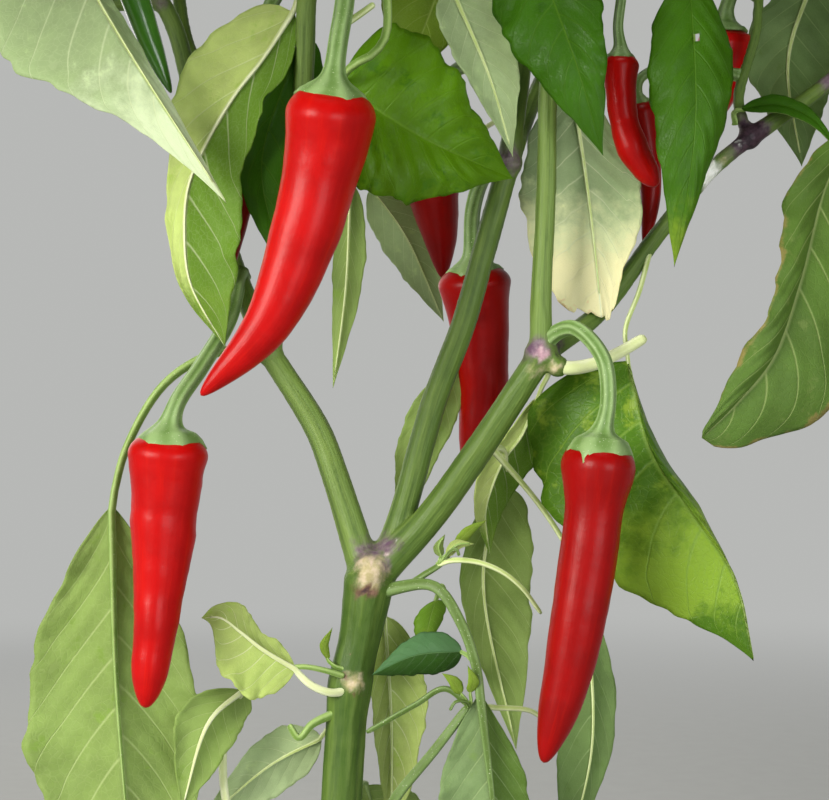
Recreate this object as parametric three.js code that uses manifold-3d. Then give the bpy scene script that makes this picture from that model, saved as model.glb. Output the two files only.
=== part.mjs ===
// Chilli pepper plant, rooted in the ground: one stem, its fork and boughs, hanging leaves and pods,
// and the masses of leaves that the boughs end in.
// Millimetres. +X is right and +Y away as the plant is seen from its front, +Z is up.
// The origin is the middle of the flat cut under the main stem, at ground level.
import * as THREE from 'three';
import { mergeVertices } from 'three/addons/utils/BufferGeometryUtils.js';
import Module from 'manifold-3d';

const wasm = await Module();
wasm.setup();

// Driving dimensions
const FOOT_RADIUS = 11.5;
const FLARE_HEIGHT = 45;
const STEM_RADIUS_LOW = 7.4;
const STEM_RADIUS_HIGH = 6.2;
const FORK_RADIUS = 8.6;
const BLADE_THICKNESS = 1.2;
const PETIOLE_RADIUS = 1.5;
const STALK_RADIUS = 2.0;
const CAP_SHARE = 0.62;
const GAP = 0.3;

// Shares that shape a limb, a pod and a mass
const STEPS_PER_SPAN = 1.4;
const POD_TOP_SHARE = 0.55;
const SHOULDER_END = 0.09;
const MASS_SHARE = 0.9;
const LUMP_SHARE = 0.045;

// Where limbs meet
const FORK = [7.5, 0, 239];
const STEM_NODE = [1.5, 0, 207];
const NODE_LEFT = [-25, 14, 312];
const NODE_MIDDLE = [51, -2, 370];
const NODE_RIGHT = [60.5, -12, 310];
const NODE_FAR_RIGHT = [130, 22, 381];

// Seen colours
const STEM_GREEN = 0x6f8f4e;
const BOUGH_GREEN = 0x5f8a4c;
const LEAF_GREEN = 0x7fa548;
const FOLIAGE_GREEN = 0x5d8c3a;
const POD_RED = 0xc4121a;
const POD_GREEN = 0x2f6b24;
const STALK_GREEN = 0x5c9440;

// The plain material of each kind of piece
function matte(color, roughness) {
  return new THREE.MeshStandardMaterial({ color, roughness, metalness: 0 });
}

// A unit shape with its shared corners merged and its faces of no area dropped
function weld(geometry) {
  geometry.deleteAttribute('normal');
  geometry.deleteAttribute('uv');
  const merged = mergeVertices(geometry);
  const corners = merged.index.array;
  const kept = [];
  for (let i = 0; i < corners.length; i += 3) {
    const [a, b, c] = [corners[i], corners[i + 1], corners[i + 2]];
    if (a !== b && b !== c && c !== a) {
      kept.push(a, b, c);
    }
  }
  merged.setIndex(kept);
  return merged;
}

// Moves every corner of a welded shape by a rule, and makes a solid of it
function shaped(geometry, rule) {
  const places = geometry.attributes.position;
  const corner = new THREE.Vector3();
  for (let i = 0; i < places.count; i += 1) {
    corner.fromBufferAttribute(places, i);
    const moved = rule(corner);
    places.setXYZ(i, moved.x, moved.y, moved.z);
  }
  return new wasm.Manifold(new wasm.Mesh({
    numProp: 3,
    vertProperties: new Float32Array(places.array),
    triVerts: new Uint32Array(geometry.index.array),
  }));
}

function curveThrough(points) {
  return new THREE.CatmullRomCurve3(points.map((p) => new THREE.Vector3(...p)));
}

// The place at one step of a curve, with the two directions across it; the ends move out by grow
function stationOf(curve, frames, step, steps, grow) {
  const tangent = frames.tangents[step];
  const across = frames.normals[step];
  const middle = curve.getPointAt(step / steps);
  if (step === 0) {
    middle.addScaledVector(tangent, -grow);
  }
  if (step === steps) {
    middle.addScaledVector(tangent, grow);
  }
  return { middle, across, aside: new THREE.Vector3().crossVectors(across, tangent) };
}

// A round limb along a curve; radiusAt gives its radius from 0 at its start to 1 at its end
function limb(points, radiusAt, grow, { sides = 6, steps = 6 } = {}) {
  const curve = curveThrough(points);
  const frames = curve.computeFrenetFrames(steps);
  return shaped(weld(new THREE.CylinderGeometry(1, 1, 1, sides, steps)), (corner) => {
    const step = Math.round((corner.y + 0.5) * steps);
    const { middle, across, aside } = stationOf(curve, frames, step, steps, grow);
    const radius = radiusAt(step / steps) + grow;
    return middle.addScaledVector(across, corner.x * radius).addScaledVector(aside, corner.z * radius);
  });
}

function taper(start, end) {
  return (along) => start + (end - start) * along;
}

function knuckle(place, radius, grow) {
  const [x, y, z] = place;
  return shaped(weld(new THREE.IcosahedronGeometry(1, 1)), (corner) => (
    corner.multiplyScalar(radius + grow).add(new THREE.Vector3(x, y, z))
  ));
}

// The main stem, with its root flare, its node and the swollen head under the fork
function mainStem(grow) {
  const foot = [[0, 0, 0], [0, 0, 10]];
  const shaft = [[-3, 1, 80], [-2.5, 0, 140], [-1.2, 0, 172]];
  const points = [...foot, ...shaft, STEM_NODE, [5, 0, 224], FORK];
  const height = FORK[2];
  const radiusAt = (along) => {
    const flare = Math.max(0, 1 - (along * height) / FLARE_HEIGHT) ** 2;
    return taper(STEM_RADIUS_LOW, STEM_RADIUS_HIGH)(along) + (FOOT_RADIUS - STEM_RADIUS_LOW) * flare;
  };
  return limb(points, radiusAt, grow, { sides: 8, steps: 10 })
    .add(knuckle(STEM_NODE, STEM_RADIUS_HIGH + 1.1, grow))
    .add(knuckle(FORK, FORK_RADIUS, grow));
}

// Each bough: the points it runs through, its radius at either end, and the swelling at its far node
const boughs = {
  bough_left: { through: [FORK, [-3.5, 6, 273], [-9, 9, 287], NODE_LEFT], radii: [4.8, 3.8], node: 5.2 },
  bough_left_inner: {
    through: [NODE_LEFT, [-18, 16, 347], [-13.5, 6, 394], [-12, 0, 421], [-10, -8, 447], [0, -6, 510]],
    radii: [3.6, 3.0],
  },
  bough_left_outer: {
    through: [NODE_LEFT, [-39, 30, 345], [-51, 45, 390], [-64, 50, 431], [-95, 40, 455], [-130, 20, 470]],
    radii: [3.5, 2.8],
  },
  bough_middle: {
    through: [FORK, [15, 3, 252], [28, 2, 296], [37, 0, 320], [43.5, 0, 343], NODE_MIDDLE],
    radii: [4.4, 3.7],
    node: 4.8,
  },
  bough_middle_upper: {
    through: [NODE_MIDDLE, [56, 10, 404], [59, 20, 445], [50, 24, 515]],
    radii: [3.3, 2.8],
  },
  bough_right: { through: [FORK, [26, -4, 259], [42, -8, 281.5], NODE_RIGHT], radii: [5.0, 4.2], node: 6.0 },
  bough_right_upright: {
    through: [NODE_RIGHT, [60.5, -13, 327], [62, -12, 357.5], [63, -8, 395], [64.5, -4, 420],
      [68, -10, 446], [84, -60, 466], [98, -100, 474]],
    radii: [3.3, 2.5],
  },
  bough_right_outer: {
    through: [NODE_RIGHT, [80, 4, 324], [98.5, 12, 348], [117, 18, 370], NODE_FAR_RIGHT],
    radii: [3.2, 2.6],
    node: 4.0,
  },
  bough_far_right: {
    through: [NODE_FAR_RIGHT, [157.5, 30, 400.5], [176, 32, 418], [188, 26, 455]],
    radii: [2.8, 2.4],
  },
  bough_right_twig: {
    through: [NODE_FAR_RIGHT, [126, 25, 393], [130.5, 30, 416], [134, 34, 440], [152, 24, 468]],
    radii: [2.2, 1.8],
  },
  bough_back_left: {
    through: [[-17, 16, 350], [-36, 50, 388], [-60, 90, 425], [-68, 122, 490]],
    radii: [2.9, 2.4],
  },
  bough_back_right: {
    through: [NODE_MIDDLE, [64, 34, 402], [85, 72, 442], [103, 122, 486]],
    radii: [3.0, 2.5],
  },
  bough_front_left: {
    through: [[-11, -2, 427], [-22, -34, 444], [-45, -82, 458], [-62, -118, 464]],
    radii: [2.9, 2.4],
  },
  bough_low_left: {
    through: [[-64, 50, 431], [-105, 55, 428], [-142, 44, 405], [-160, 26, 378]],
    radii: [2.7, 2.2],
  },
  bough_low_right: {
    through: [[157.5, 30, 400.5], [186, 38, 402], [207, 34, 388], [214, 26, 372]],
    radii: [2.7, 2.2],
  },
};

function bough({ through, radii, node }) {
  return (grow) => {
    const steps = Math.ceil(STEPS_PER_SPAN * (through.length - 1));
    const body = limb(through, taper(radii[0], radii[1]), grow, { steps });
    return node ? body.add(knuckle(through[through.length - 1], node, grow)) : body;
  };
}

// Where the rings of a pod lie along it, from its shoulder to its tip
const POD_RINGS = [0, 0, 0.03, SHOULDER_END, 0.33, 0.6, 0.8, 0.94, 1];

// The radius of a pod as a share of its broadest: a rounded shoulder, an even taper, and a tip that
// starts to round off at the share of its length given by point
function podShare(along, point) {
  const shoulder = POD_TOP_SHARE + (1 - POD_TOP_SHARE) * Math.min(1, along / SHOULDER_END) ** 0.5;
  const body = 1 - 0.5 * along - 0.1 * along ** 2;
  const tip = Math.sqrt(1 - (Math.max(0, along - point) / (1 - point)) ** 2);
  return shoulder * body * tip;
}

// Each pod: the points of its axis, its broadest radius, where its tip starts, and the points of its
// stalk up to the limb
const pods = {
  pod_1: {
    axis: [[-2, -45, 385.5], [-4, -47, 368.5], [-11.5, -48, 339.5], [-21, -50, 317.5], [-39.5, -52, 297.5]],
    radius: 13.2,
    point: 0.5,
    stalk: [[-0.5, -43, 398], [1.5, -36, 418], [-2, -24, 437], [-10, -9, 446]],
  },
  pod_2: {
    axis: [[77.5, -27, 283.5], [74, -28, 253], [67.5, -30, 216], [60, -31, 188.5]],
    radius: 11.2,
    point: 0.8,
    stalk: [[79.5, -28, 296], [78, -26, 309], [70, -20, 318], [63, -13, 315], [60.5, -12, 309]],
  },
  pod_3: {
    axis: [[41, 27, 339.5], [43, 29, 318], [44, 30, 295], [40, 31, 270]],
    radius: 11.8,
    point: 0.75,
    stalk: [[41, 25, 350], [45, 12, 361], [50.5, -1, 366]],
  },
  pod_4: {
    axis: [[-52, -23, 285.5], [-54, -24, 252], [-56, -27, 226], [-58.5, -29, 204.5]],
    radius: 12.3,
    point: 0.82,
    stalk: [[-50, -22, 295], [-44, -12, 306], [-37, 8, 322], [-35.5, 26, 337]],
  },
  pod_5: {
    axis: [[27, 60, 384], [28, 60, 368], [30.5, 61, 352], [31, 61, 338]],
    radius: 9.6,
    point: 0.6,
    stalk: [[26, 58, 394], [35, 42, 406], [55.5, 9, 402]],
  },
  pod_6: {
    axis: [[86, 2, 404], [87.5, 1, 391], [88.5, 1, 379], [92, 0, 370], [98, 0, 362.5]],
    radius: 6.4,
    point: 0.85,
    stalk: [[85.5, 2, 413], [86, -1, 428], [78, -6, 440], [67, -8, 441]],
  },
  pod_7: {
    axis: [[124, 47, 421], [124.5, 48, 410], [124, 48, 399], [122.5, 48, 387]],
    radius: 9.4,
    point: 0.7,
    stalk: [[126, 46, 430], [129, 40, 436], [132, 32, 429]],
  },
  pod_8: {
    axis: [[95, 31, 394], [98, 31, 378], [99, 30, 362], [97, 30, 346]],
    radius: 5.4,
    point: 0.6,
    stalk: [[96, 32, 402], [108, 33, 407], [128, 27, 402]],
  },
  pod_9: {
    axis: [[-27.5, 15, 408], [-31, 15, 385], [-36, 16, 358], [-40, 18, 331]],
    radius: 8.7,
    point: 0.6,
    stalk: [[-26, 14, 418], [-19, 6, 428], [-11, -3, 430]],
  },
  pod_unripe: {
    axis: [[-75, 22, 441], [-69, 22, 427], [-63, 22, 410], [-57, 22, 395.5]],
    radius: 5.8,
    point: 0.6,
    stalk: [[-77, 25, 449], [-81, 34, 455], [-84, 44, 448]],
    unripe: true,
  },
};

function pod({ axis, radius, point }) {
  return (grow) => {
    const steps = POD_RINGS.length - 1;
    const outline = POD_RINGS.map((along, step) => (
      new THREE.Vector2(step % steps === 0 ? 0 : podShare(along, point), step)
    ));
    const curve = curveThrough(axis);
    return shaped(weld(new THREE.LatheGeometry(outline, 7)), (corner) => {
      const step = Math.round(corner.y);
      const along = POD_RINGS[step];
      const share = Math.hypot(corner.x, corner.z);
      const tangent = curve.getTangentAt(along);
      const across = new THREE.Vector3(0, 1, 0).cross(tangent).normalize();
      const aside = new THREE.Vector3().crossVectors(across, tangent);
      const reach = share === 0 ? 0 : radius + grow / share;
      return curve.getPointAt(along)
        .addScaledVector(tangent, along < 0.05 ? -grow : grow)
        .addScaledVector(across, corner.x * reach)
        .addScaledVector(aside, corner.z * reach);
    });
  };
}

// The stalk of a pod: it starts as a green cap on the flat of the shoulder and narrows at once
function stalk({ axis, radius, stalk: upward }) {
  return (grow) => {
    const core = curveThrough(axis);
    const outward = core.getTangentAt(0).negate();
    const seat = core.getPointAt(0).addScaledVector(outward, GAP);
    const neck = seat.clone().addScaledVector(outward, 2 * STALK_RADIUS);
    const capRadius = Math.max(CAP_SHARE * radius, 1.5 * STALK_RADIUS);
    const radiusAt = (along) => (along === 0 ? capRadius : taper(1.3 * STALK_RADIUS, STALK_RADIUS)(along));
    return limb([seat.toArray(), neck.toArray(), ...upward], radiusAt, grow, { steps: 8 });
  };
}

// Half the breadth of a blade along its midrib, as a share of the broadest: round at the base, drawn out
// to a point at the tip, the more so the greater tipPower is
function bladeShare(along, tipPower) {
  const basePower = 0.62;
  const broadest = basePower / (basePower + tipPower);
  const breadth = (place) => place ** basePower * (1 - place) ** tipPower;
  return breadth(along) / breadth(broadest);
}

// Each large leaf: its petiole, its midrib, and how far its two halves reach at their broadest, to the
// left and to the right, at the base and at the tip where the blade turns
const leaves = {
  leaf_upper_left: {
    petiole: [[-88, 43, 451], [-95, 20, 460], [-91, -3, 447]],
    midrib: [[-90, -5, 444], [-63, -22, 399], [-34.5, -28, 355]],
    left: [[-34, 5, -22], [-18, 4, -11]],
    right: [[3, 11, 2], [3, 8, 2]],
  },
  leaf_folded: {
    petiole: [[-12, -1, 424], [-14, 3, 424], [-16, 4, 419]],
    midrib: [[-16, 4, 418], [-30, 2, 405], [-49, -2, 380], [-52, -6, 352], [-35.5, -8, 312]],
    left: [[-11, 8, 17], [-5, 9, -2]],
    right: [[8, -4, -9], [32, -3, 2]],
  },
  leaf_behind_pod: {
    petiole: [[-10, -8, 446], [2, -16, 448], [11, -26, 432], [14.5, -34, 408], [8, -36, 398],
      [-1, -28, 391.5]],
    midrib: [[-1, -26, 390.5], [25, -24, 374.5], [52, -12, 364]],
    left: [[8, 8, 27], [6, 5, 18]],
    right: [[-8, -6, -27], [-4, -4, -16]],
  },
  leaf_pale_hanging: {
    petiole: [[57, 13, 430], [40, 2, 438], [33.5, -5, 426]],
    midrib: [[33, -6, 424], [45, -10, 395], [52, -9, 371]],
    left: [[-10, -6, -1], [-8, -6, 0]],
    right: [[11, -8, 4], [9, -7, 2]],
  },
  leaf_top_middle: {
    petiole: [[66, -8, 442], [62, -14, 445], [57, -18, 438]],
    midrib: [[56.5, -18, 436.5], [69.5, -29, 397.5], [78, -28, 369]],
    left: [[-19, 5, -6], [-12, 4, -5]],
    right: [[14, -3, 4], [9, -3, 3]],
  },
  leaf_broken_tip: {
    petiole: [[63, -8, 391], [67, 0, 399], [71, 5, 395]],
    midrib: [[71.5, 6, 394.5], [76.5, 14, 357], [80, 8, 319]],
    left: [[-22, 3, -2], [-20, 3, 0]],
    right: [[17, 4, 0], [17, 4, 0]],
    tipPower: 0.6,
  },
  leaf_glossy: {
    petiole: [[68, -10, 446], [90, -12, 449], [105, -10, 428]],
    midrib: [[106.5, -10, 425], [106.5, -20, 378], [100.5, -18, 336.5]],
    left: [[-15, 2, 0], [-12, 2, 0]],
    right: [[14.5, 4, 0], [11, 4, 0]],
  },
  leaf_right_edge: {
    petiole: [[163, 31, 405], [168, 24, 400], [163, 11, 383]],
    midrib: [[162.5, 10, 381.5], [142, -8, 333.5], [109.5, -14, 284]],
    left: [[-12, -5, 5], [-7, -4, 5]],
    right: [[17, 6, -14], [26, 8, -22]],
    tipPower: 0.5,
  },
  leaf_curled: {
    petiole: [[97, 11, 346], [92.5, 4, 331], [87.5, 0, 318], [88, -2, 310]],
    midrib: [[88, -2, 308.5], [99, -12, 272], [124, -18, 216]],
    left: [[-34, 14, -8], [-16, 8, -36]],
    right: [[1, 9, 1], [1, 7, 1]],
  },
  leaf_lower_left: {
    petiole: [[-26, 13, 312], [-41, 2, 311], [-56, -2, 301.5], [-68, -2, 281.5], [-72.5, -2, 265]],
    midrib: [[-72.5, -2, 263.5], [-71.5, 2, 205.5], [-65, -4, 138]],
    left: [[-30, 6, -8], [-30, 6, -6]],
    right: [[26, 6, -8], [25, 6, -6]],
    tipPower: 0.8,
  },
  leaf_under_middle: {
    petiole: [[42, -8, 281], [50, 8, 280], [50.5, 15, 271]],
    midrib: [[49, 16, 269], [43.7, 16, 238.5], [54, 10, 185]],
    left: [[-7, 2, 0], [-8, 2, 0]],
    right: [[16, 3, 2], [15, 3, 2]],
  },
  leaf_beside_stem: {
    petiole: [[7, 4, 232], [11, 10, 233], [12.5, 12, 229]],
    midrib: [[12.5, 12, 227.5], [14.5, 12, 194.5], [14.5, 8, 155]],
    left: [[-7, 3, 0], [-6, 3, 0]],
    right: [[12, -3, 0], [10, -3, 0]],
  },
  leaf_low_middle: {
    petiole: [[12, -2, 237], [28, -12, 239], [36, -16, 228], [40, -17, 217], [41.5, -16, 209]],
    midrib: [[41.5, -16, 207.5], [45, -18, 178], [49, -22, 138]],
    left: [[-17, 3, -4], [-14, 3, -3]],
    right: [[13, 3, -3], [11, 3, -3]],
  },
  leaf_top_right: {
    petiole: [[137, 33, 446], [148, 50, 456], [158, 60, 446]],
    midrib: [[159, 60, 443], [150, 62, 413], [154, 58, 376]],
    left: [[-16, 0, 0], [-14, 0, 0]],
    right: [[20, 3, 0], [18, 3, 0]],
  },
};

// A thin blade folded along its midrib, with its petiole
function leaf({ petiole, midrib, left, right, tipPower = 1.15 }) {
  return (grow) => {
    const curve = curveThrough(midrib);
    const [leftBase, leftTip, rightBase, rightTip] = [...left, ...right].map((p) => new THREE.Vector3(...p));
    const blade = shaped(weld(new THREE.BoxGeometry(1, 1, 1, 2, 5, 1)), (corner) => {
      const along = corner.y + 0.5;
      const tangent = curve.getTangentAt(along);
      const toLeft = leftBase.clone().lerp(leftTip, along);
      const toRight = rightBase.clone().lerp(rightTip, along);
      const face = new THREE.Vector3();
      if (corner.x <= 0) {
        face.add(new THREE.Vector3().crossVectors(tangent, toLeft).normalize());
      }
      if (corner.x >= 0) {
        face.add(new THREE.Vector3().crossVectors(toRight, tangent).normalize());
      }
      const half = corner.x < 0 ? toLeft : toRight;
      const share = Math.max(bladeShare(along, tipPower), 0.06) + grow / half.length();
      const endward = Math.abs(corner.y) === 0.5 ? Math.sign(corner.y) * grow : 0;
      return curve.getPointAt(along)
        .addScaledVector(tangent, endward)
        .addScaledVector(half, Math.abs(corner.x) * 2 * share)
        .addScaledVector(face.normalize(), corner.z * (BLADE_THICKNESS + 2 * grow));
    });
    const inBlade = curve.getPointAt(0.06).toArray();
    const handle = limb([...petiole, inBlade], taper(PETIOLE_RADIUS, PETIOLE_RADIUS * 0.7), grow, {
      sides: 4,
      steps: 4,
    });
    return blade.add(handle);
  };
}

// Each mass of leaves: its middle, its reach along the three axes, and the seed of its lumps
const masses = {
  foliage_top: { middle: [20, 20, 570], reach: [108, 98, 72], seed: 1 },
  foliage_left: { middle: [-150, -10, 500], reach: [86, 92, 72], seed: 2 },
  foliage_right: { middle: [190, 0, 500], reach: [86, 92, 72], seed: 3 },
  foliage_front_left: { middle: [-66, -140, 500], reach: [86, 70, 64], seed: 4 },
  foliage_front_right: { middle: [108, -140, 496], reach: [86, 70, 64], seed: 5 },
  foliage_back_left: { middle: [-70, 140, 545], reach: [88, 76, 74], seed: 6 },
  foliage_back_right: { middle: [112, 140, 540], reach: [88, 76, 74], seed: 7 },
  foliage_low_left: { middle: [-168, 20, 330], reach: [46, 60, 70], seed: 8 },
  foliage_low_right: { middle: [216, 20, 330], reach: [52, 60, 70], seed: 9 },
};

// How far the surface of a mass lies out in one direction, as a share of its reach
function lumps(direction, seed) {
  let share = MASS_SHARE;
  for (let wave = 1; wave <= 4; wave += 1) {
    const turn = seed * 2.4 + wave * 1.7;
    const heading = new THREE.Vector3(Math.cos(turn), Math.sin(turn), Math.cos(turn * 1.9));
    share += LUMP_SHARE * Math.cos(4.2 * heading.dot(direction) + turn * 3.1);
  }
  return share;
}

function mass({ middle, reach, seed }) {
  return (grow) => shaped(weld(new THREE.IcosahedronGeometry(1, 2)), (corner) => {
    const out = lumps(corner, seed);
    return new THREE.Vector3(
      middle[0] + corner.x * (out * reach[0] + grow),
      middle[1] + corner.y * (out * reach[1] + grow),
      middle[2] + corner.z * (out * reach[2] + grow),
    );
  });
}

function boxesTouch(one, other) {
  return [0, 1, 2].every((i) => one.min[i] <= other.max[i] && other.min[i] <= one.max[i]);
}

function largestPart(body) {
  return body.decompose().reduce((best, part) => (part.volume() > best.volume() ? part : best));
}

function meshOf(name, body, material) {
  const { vertProperties, triVerts } = body.getMesh();
  const geometry = new THREE.BufferGeometry();
  geometry.setAttribute('position', new THREE.BufferAttribute(vertProperties, 3));
  geometry.setIndex(new THREE.BufferAttribute(triVerts, 1));
  geometry.computeVertexNormals();
  const mesh = new THREE.Mesh(geometry, material);
  mesh.name = name;
  return mesh;
}

// Every piece in order of rank: a later piece makes room for each earlier one that it meets
const pieces = [{ name: 'main_stem', shape: mainStem, material: matte(STEM_GREEN, 0.6) }];
for (const [name, plan] of Object.entries(boughs)) {
  pieces.push({ name, shape: bough(plan), material: matte(BOUGH_GREEN, 0.6) });
}
for (const [name, plan] of Object.entries(pods)) {
  pieces.push({ name, shape: pod(plan), material: matte(plan.unripe ? POD_GREEN : POD_RED, 0.25) });
}
for (const [name, plan] of Object.entries(pods)) {
  pieces.push({ name: `stalk_of_${name}`, shape: stalk(plan), material: matte(STALK_GREEN, 0.5) });
}
for (const [name, plan] of Object.entries(leaves)) {
  pieces.push({ name, shape: leaf(plan), material: matte(LEAF_GREEN, 0.5) });
}
for (const [name, plan] of Object.entries(masses)) {
  pieces.push({ name, shape: mass(plan), material: matte(FOLIAGE_GREEN, 0.7) });
}

const plant = new THREE.Group();
const taken = [];
for (const { name, shape, material } of pieces) {
  let body = shape(0);
  for (const room of taken) {
    if (boxesTouch(body.boundingBox(), room.boundingBox())) {
      body = body.subtract(room);
    }
  }
  taken.push(shape(GAP));
  plant.add(meshOf(name, largestPart(body), material));
}

export default plant;
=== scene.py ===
# %% [markdown]
# # A chilli pepper plant
# This lesson dresses a whole chilli plant: a ribbed green stem that forks into boughs, large drooping
# leaves, long glossy red pods and a leafy crown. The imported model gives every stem, leaf and pod its place
# and size. The finer pieces made here stand for those plain solids.

# %% Load the frame
import math

import bpy
import numpy as np
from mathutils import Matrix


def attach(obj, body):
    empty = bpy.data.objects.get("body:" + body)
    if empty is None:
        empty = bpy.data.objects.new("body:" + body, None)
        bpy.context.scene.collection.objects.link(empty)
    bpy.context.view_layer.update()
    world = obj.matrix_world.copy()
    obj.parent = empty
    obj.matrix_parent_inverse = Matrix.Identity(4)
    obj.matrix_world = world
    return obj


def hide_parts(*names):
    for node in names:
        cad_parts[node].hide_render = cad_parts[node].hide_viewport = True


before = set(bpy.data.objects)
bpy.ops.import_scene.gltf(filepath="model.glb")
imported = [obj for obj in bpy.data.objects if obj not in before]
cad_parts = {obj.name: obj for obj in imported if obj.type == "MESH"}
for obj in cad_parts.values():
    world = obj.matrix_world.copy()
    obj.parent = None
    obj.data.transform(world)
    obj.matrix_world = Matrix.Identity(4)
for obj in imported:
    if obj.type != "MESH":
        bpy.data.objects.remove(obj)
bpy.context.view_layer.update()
bpy.ops.object.select_all(action="DESELECT")

# %% [markdown]
# ## The camera
# The picture looks level along +Y at the middle of the plant, from about 62 cm away, with the main stem a
# little left of the middle. A long lens keeps the boughs from spreading with perspective.

# %% Camera and colour
MM = 0.001
EYE = (21.7 * MM, -620 * MM, 296.25 * MM)
PICTURE_WIDTH_AT_STEM = 259 * MM
SENSOR_WIDTH = 36.0

bpy.ops.object.camera_add(location=EYE, rotation=(math.pi / 2, 0, 0))
camera = bpy.context.object
camera.name = "camera"
camera.data.sensor_width = SENSOR_WIDTH
camera.data.lens = SENSOR_WIDTH * -EYE[1] / PICTURE_WIDTH_AT_STEM
camera.data.clip_start = 0.01
bpy.context.scene.camera = camera
bpy.context.scene.view_settings.view_transform = "Standard"
print("lens in millimetres:", round(camera.data.lens, 1))

# %% [markdown]
# ## Smooth lines and frames
# Stems, stalks and midribs all follow a smooth curve through a few places. Even steps along the curve give
# faces of one size, and side vectors carried along without twist let a ring of points follow every bend.

# %% Smooth lines
CURVE_STEPS = 25
WAVE_HEIGHT = 1.6


def distances(line):
    """How far along the line each of its places lies."""
    return np.concatenate([[0], np.cumsum(np.linalg.norm(np.diff(line, axis=0), axis=1))])


def read_line(line, knots, wanted):
    """The places of a line at the wanted knots."""
    return np.stack([np.interp(wanted, knots, line[:, k]) for k in range(3)], axis=1)


def smooth_line(points, count):
    """count places at even steps along a smooth curve through the points."""
    points = np.asarray(points, float)
    line = np.vstack([2 * points[0] - points[1], points, 2 * points[-1] - points[-2]])
    knots = np.concatenate([[0], np.cumsum(np.linalg.norm(np.diff(line, axis=0), axis=1) ** 0.5)])
    fine = [points[:1]]
    for k in range(1, len(line) - 2):
        a, b, c, d = line[k - 1:k + 3]
        ta, tb, tc, td = knots[k - 1:k + 3]
        t = np.linspace(tb, tc, CURVE_STEPS)[1:, None]
        ab = a + (b - a) * (t - ta) / (tb - ta)
        bc = b + (c - b) * (t - tb) / (tc - tb)
        cd = c + (d - c) * (t - tc) / (td - tc)
        abc = ab + (bc - ab) * (t - ta) / (tc - ta)
        bcd = bc + (cd - bc) * (t - tb) / (td - tb)
        fine.append(abc + (bcd - abc) * (t - tb) / (tc - tb))
    fine = np.vstack(fine)
    gone = distances(fine)
    return read_line(fine, gone, np.linspace(0, gone[-1], count))


def unit(vectors):
    """Vectors of length one."""
    return vectors / np.maximum(np.linalg.norm(vectors, axis=-1, keepdims=True), 1e-12)


def side_vectors(line):
    """(tangent, side, up) at each place of a line, carried along it without twist."""
    tangent = unit(np.gradient(line, axis=0))
    start = np.cross(tangent[0], (0.0, 1.0, 0.0))
    if np.linalg.norm(start) < 0.1:
        start = np.cross(tangent[0], (1.0, 0.0, 0.0))
    side = [unit(start)]
    for t in tangent[1:]:
        side.append(unit(side[-1] - t * np.dot(side[-1], t)))
    side = np.array(side)
    return tangent, side, np.cross(tangent, side)


def hump(x, height, middle, reach):
    """A smooth swelling of a height round the middle."""
    return height * np.exp(-((x - middle) / reach) ** 2)


def waves(x, seed, octaves=4):
    """Smooth uneven numbers between about -1 and 1, made of waves with seeded starts."""
    dice = np.random.default_rng(seed)
    total = np.zeros_like(np.asarray(x, float))
    for k in range(octaves):
        total += np.sin(x * (k + 1) * dice.uniform(0.8, 1.2) + dice.uniform(0, 2 * math.pi)) / (k + 1)
    return total / WAVE_HEIGHT

# %% [markdown]
# ## From a grid to a surface
# Each limb, pod and large leaf starts as Blender's grid primitive, whose squares carry an even UV map.
# Every vertex is then put at its place on the surface. A grid that closes round a stem has its seam and its
# two poles merged, and its faces turned outwards.

# %% Grid pieces
GRID_MERGE = 0.004 * MM


def select_only(*pieces):
    """Selects these pieces alone, with the first one active."""
    bpy.ops.object.select_all(action="DESELECT")
    for piece in pieces:
        piece.select_set(True)
    bpy.context.view_layer.objects.active = pieces[0]


def merge_close(gap, outwards=False):
    """Merges the active piece's vertices within a gap, turns its faces outwards if asked, and smooths it."""
    bpy.ops.object.mode_set(mode="EDIT")
    bpy.ops.mesh.select_all(action="SELECT")
    bpy.ops.mesh.remove_doubles(threshold=gap)
    if outwards:
        bpy.ops.mesh.normals_make_consistent(inside=False)
    bpy.ops.object.mode_set(mode="OBJECT")
    bpy.ops.object.shade_smooth()


def put_vertices(piece, places):
    """Moves a piece's vertices to these places."""
    piece.data.vertices.foreach_set("co", places.astype(np.float32).ravel())
    piece.data.update()


def grid_piece(name, places, closed):
    """A grid primitive with its vertices at places[row, column], merged where they meet if it is closed."""
    rows, columns = places.shape[:2]
    bpy.ops.object.select_all(action="DESELECT")
    bpy.ops.mesh.primitive_grid_add(x_subdivisions=columns - 1, y_subdivisions=rows - 1, size=1)
    piece = bpy.context.object
    piece.name = name
    put_vertices(piece, places)
    merge_close(GRID_MERGE, closed)
    return piece


def ring_places(line, radius, sides):
    """Rings of points round a line, with a pole at each end. radius has a number for each place or point."""
    _, side, up = side_vectors(line)
    angle = np.linspace(0, 2 * math.pi, sides + 1)
    radius = np.broadcast_to(np.asarray(radius, float).reshape(len(line), -1), (len(line), sides + 1))
    around = np.cos(angle)[None, :, None] * side[:, None] + np.sin(angle)[None, :, None] * up[:, None]
    rings = line[:, None] + radius[..., None] * around
    first = np.repeat(line[:1, None], sides + 1, axis=1)
    last = np.repeat(line[-1:, None], sides + 1, axis=1)
    return np.concatenate([first, rings, last])


def join(name, pieces):
    """One piece made of several, with their materials kept."""
    select_only(*pieces)
    bpy.ops.object.join()
    pieces[0].name = name
    return pieces[0]


def apply_modifier(piece, kind, **settings):
    """Adds a modifier with these settings and applies it."""
    select_only(piece)
    modifier = piece.modifiers.new(kind.title(), kind)
    for setting, value in settings.items():
        setattr(modifier, setting, value)
    bpy.ops.object.modifier_apply(modifier=modifier.name)


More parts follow.
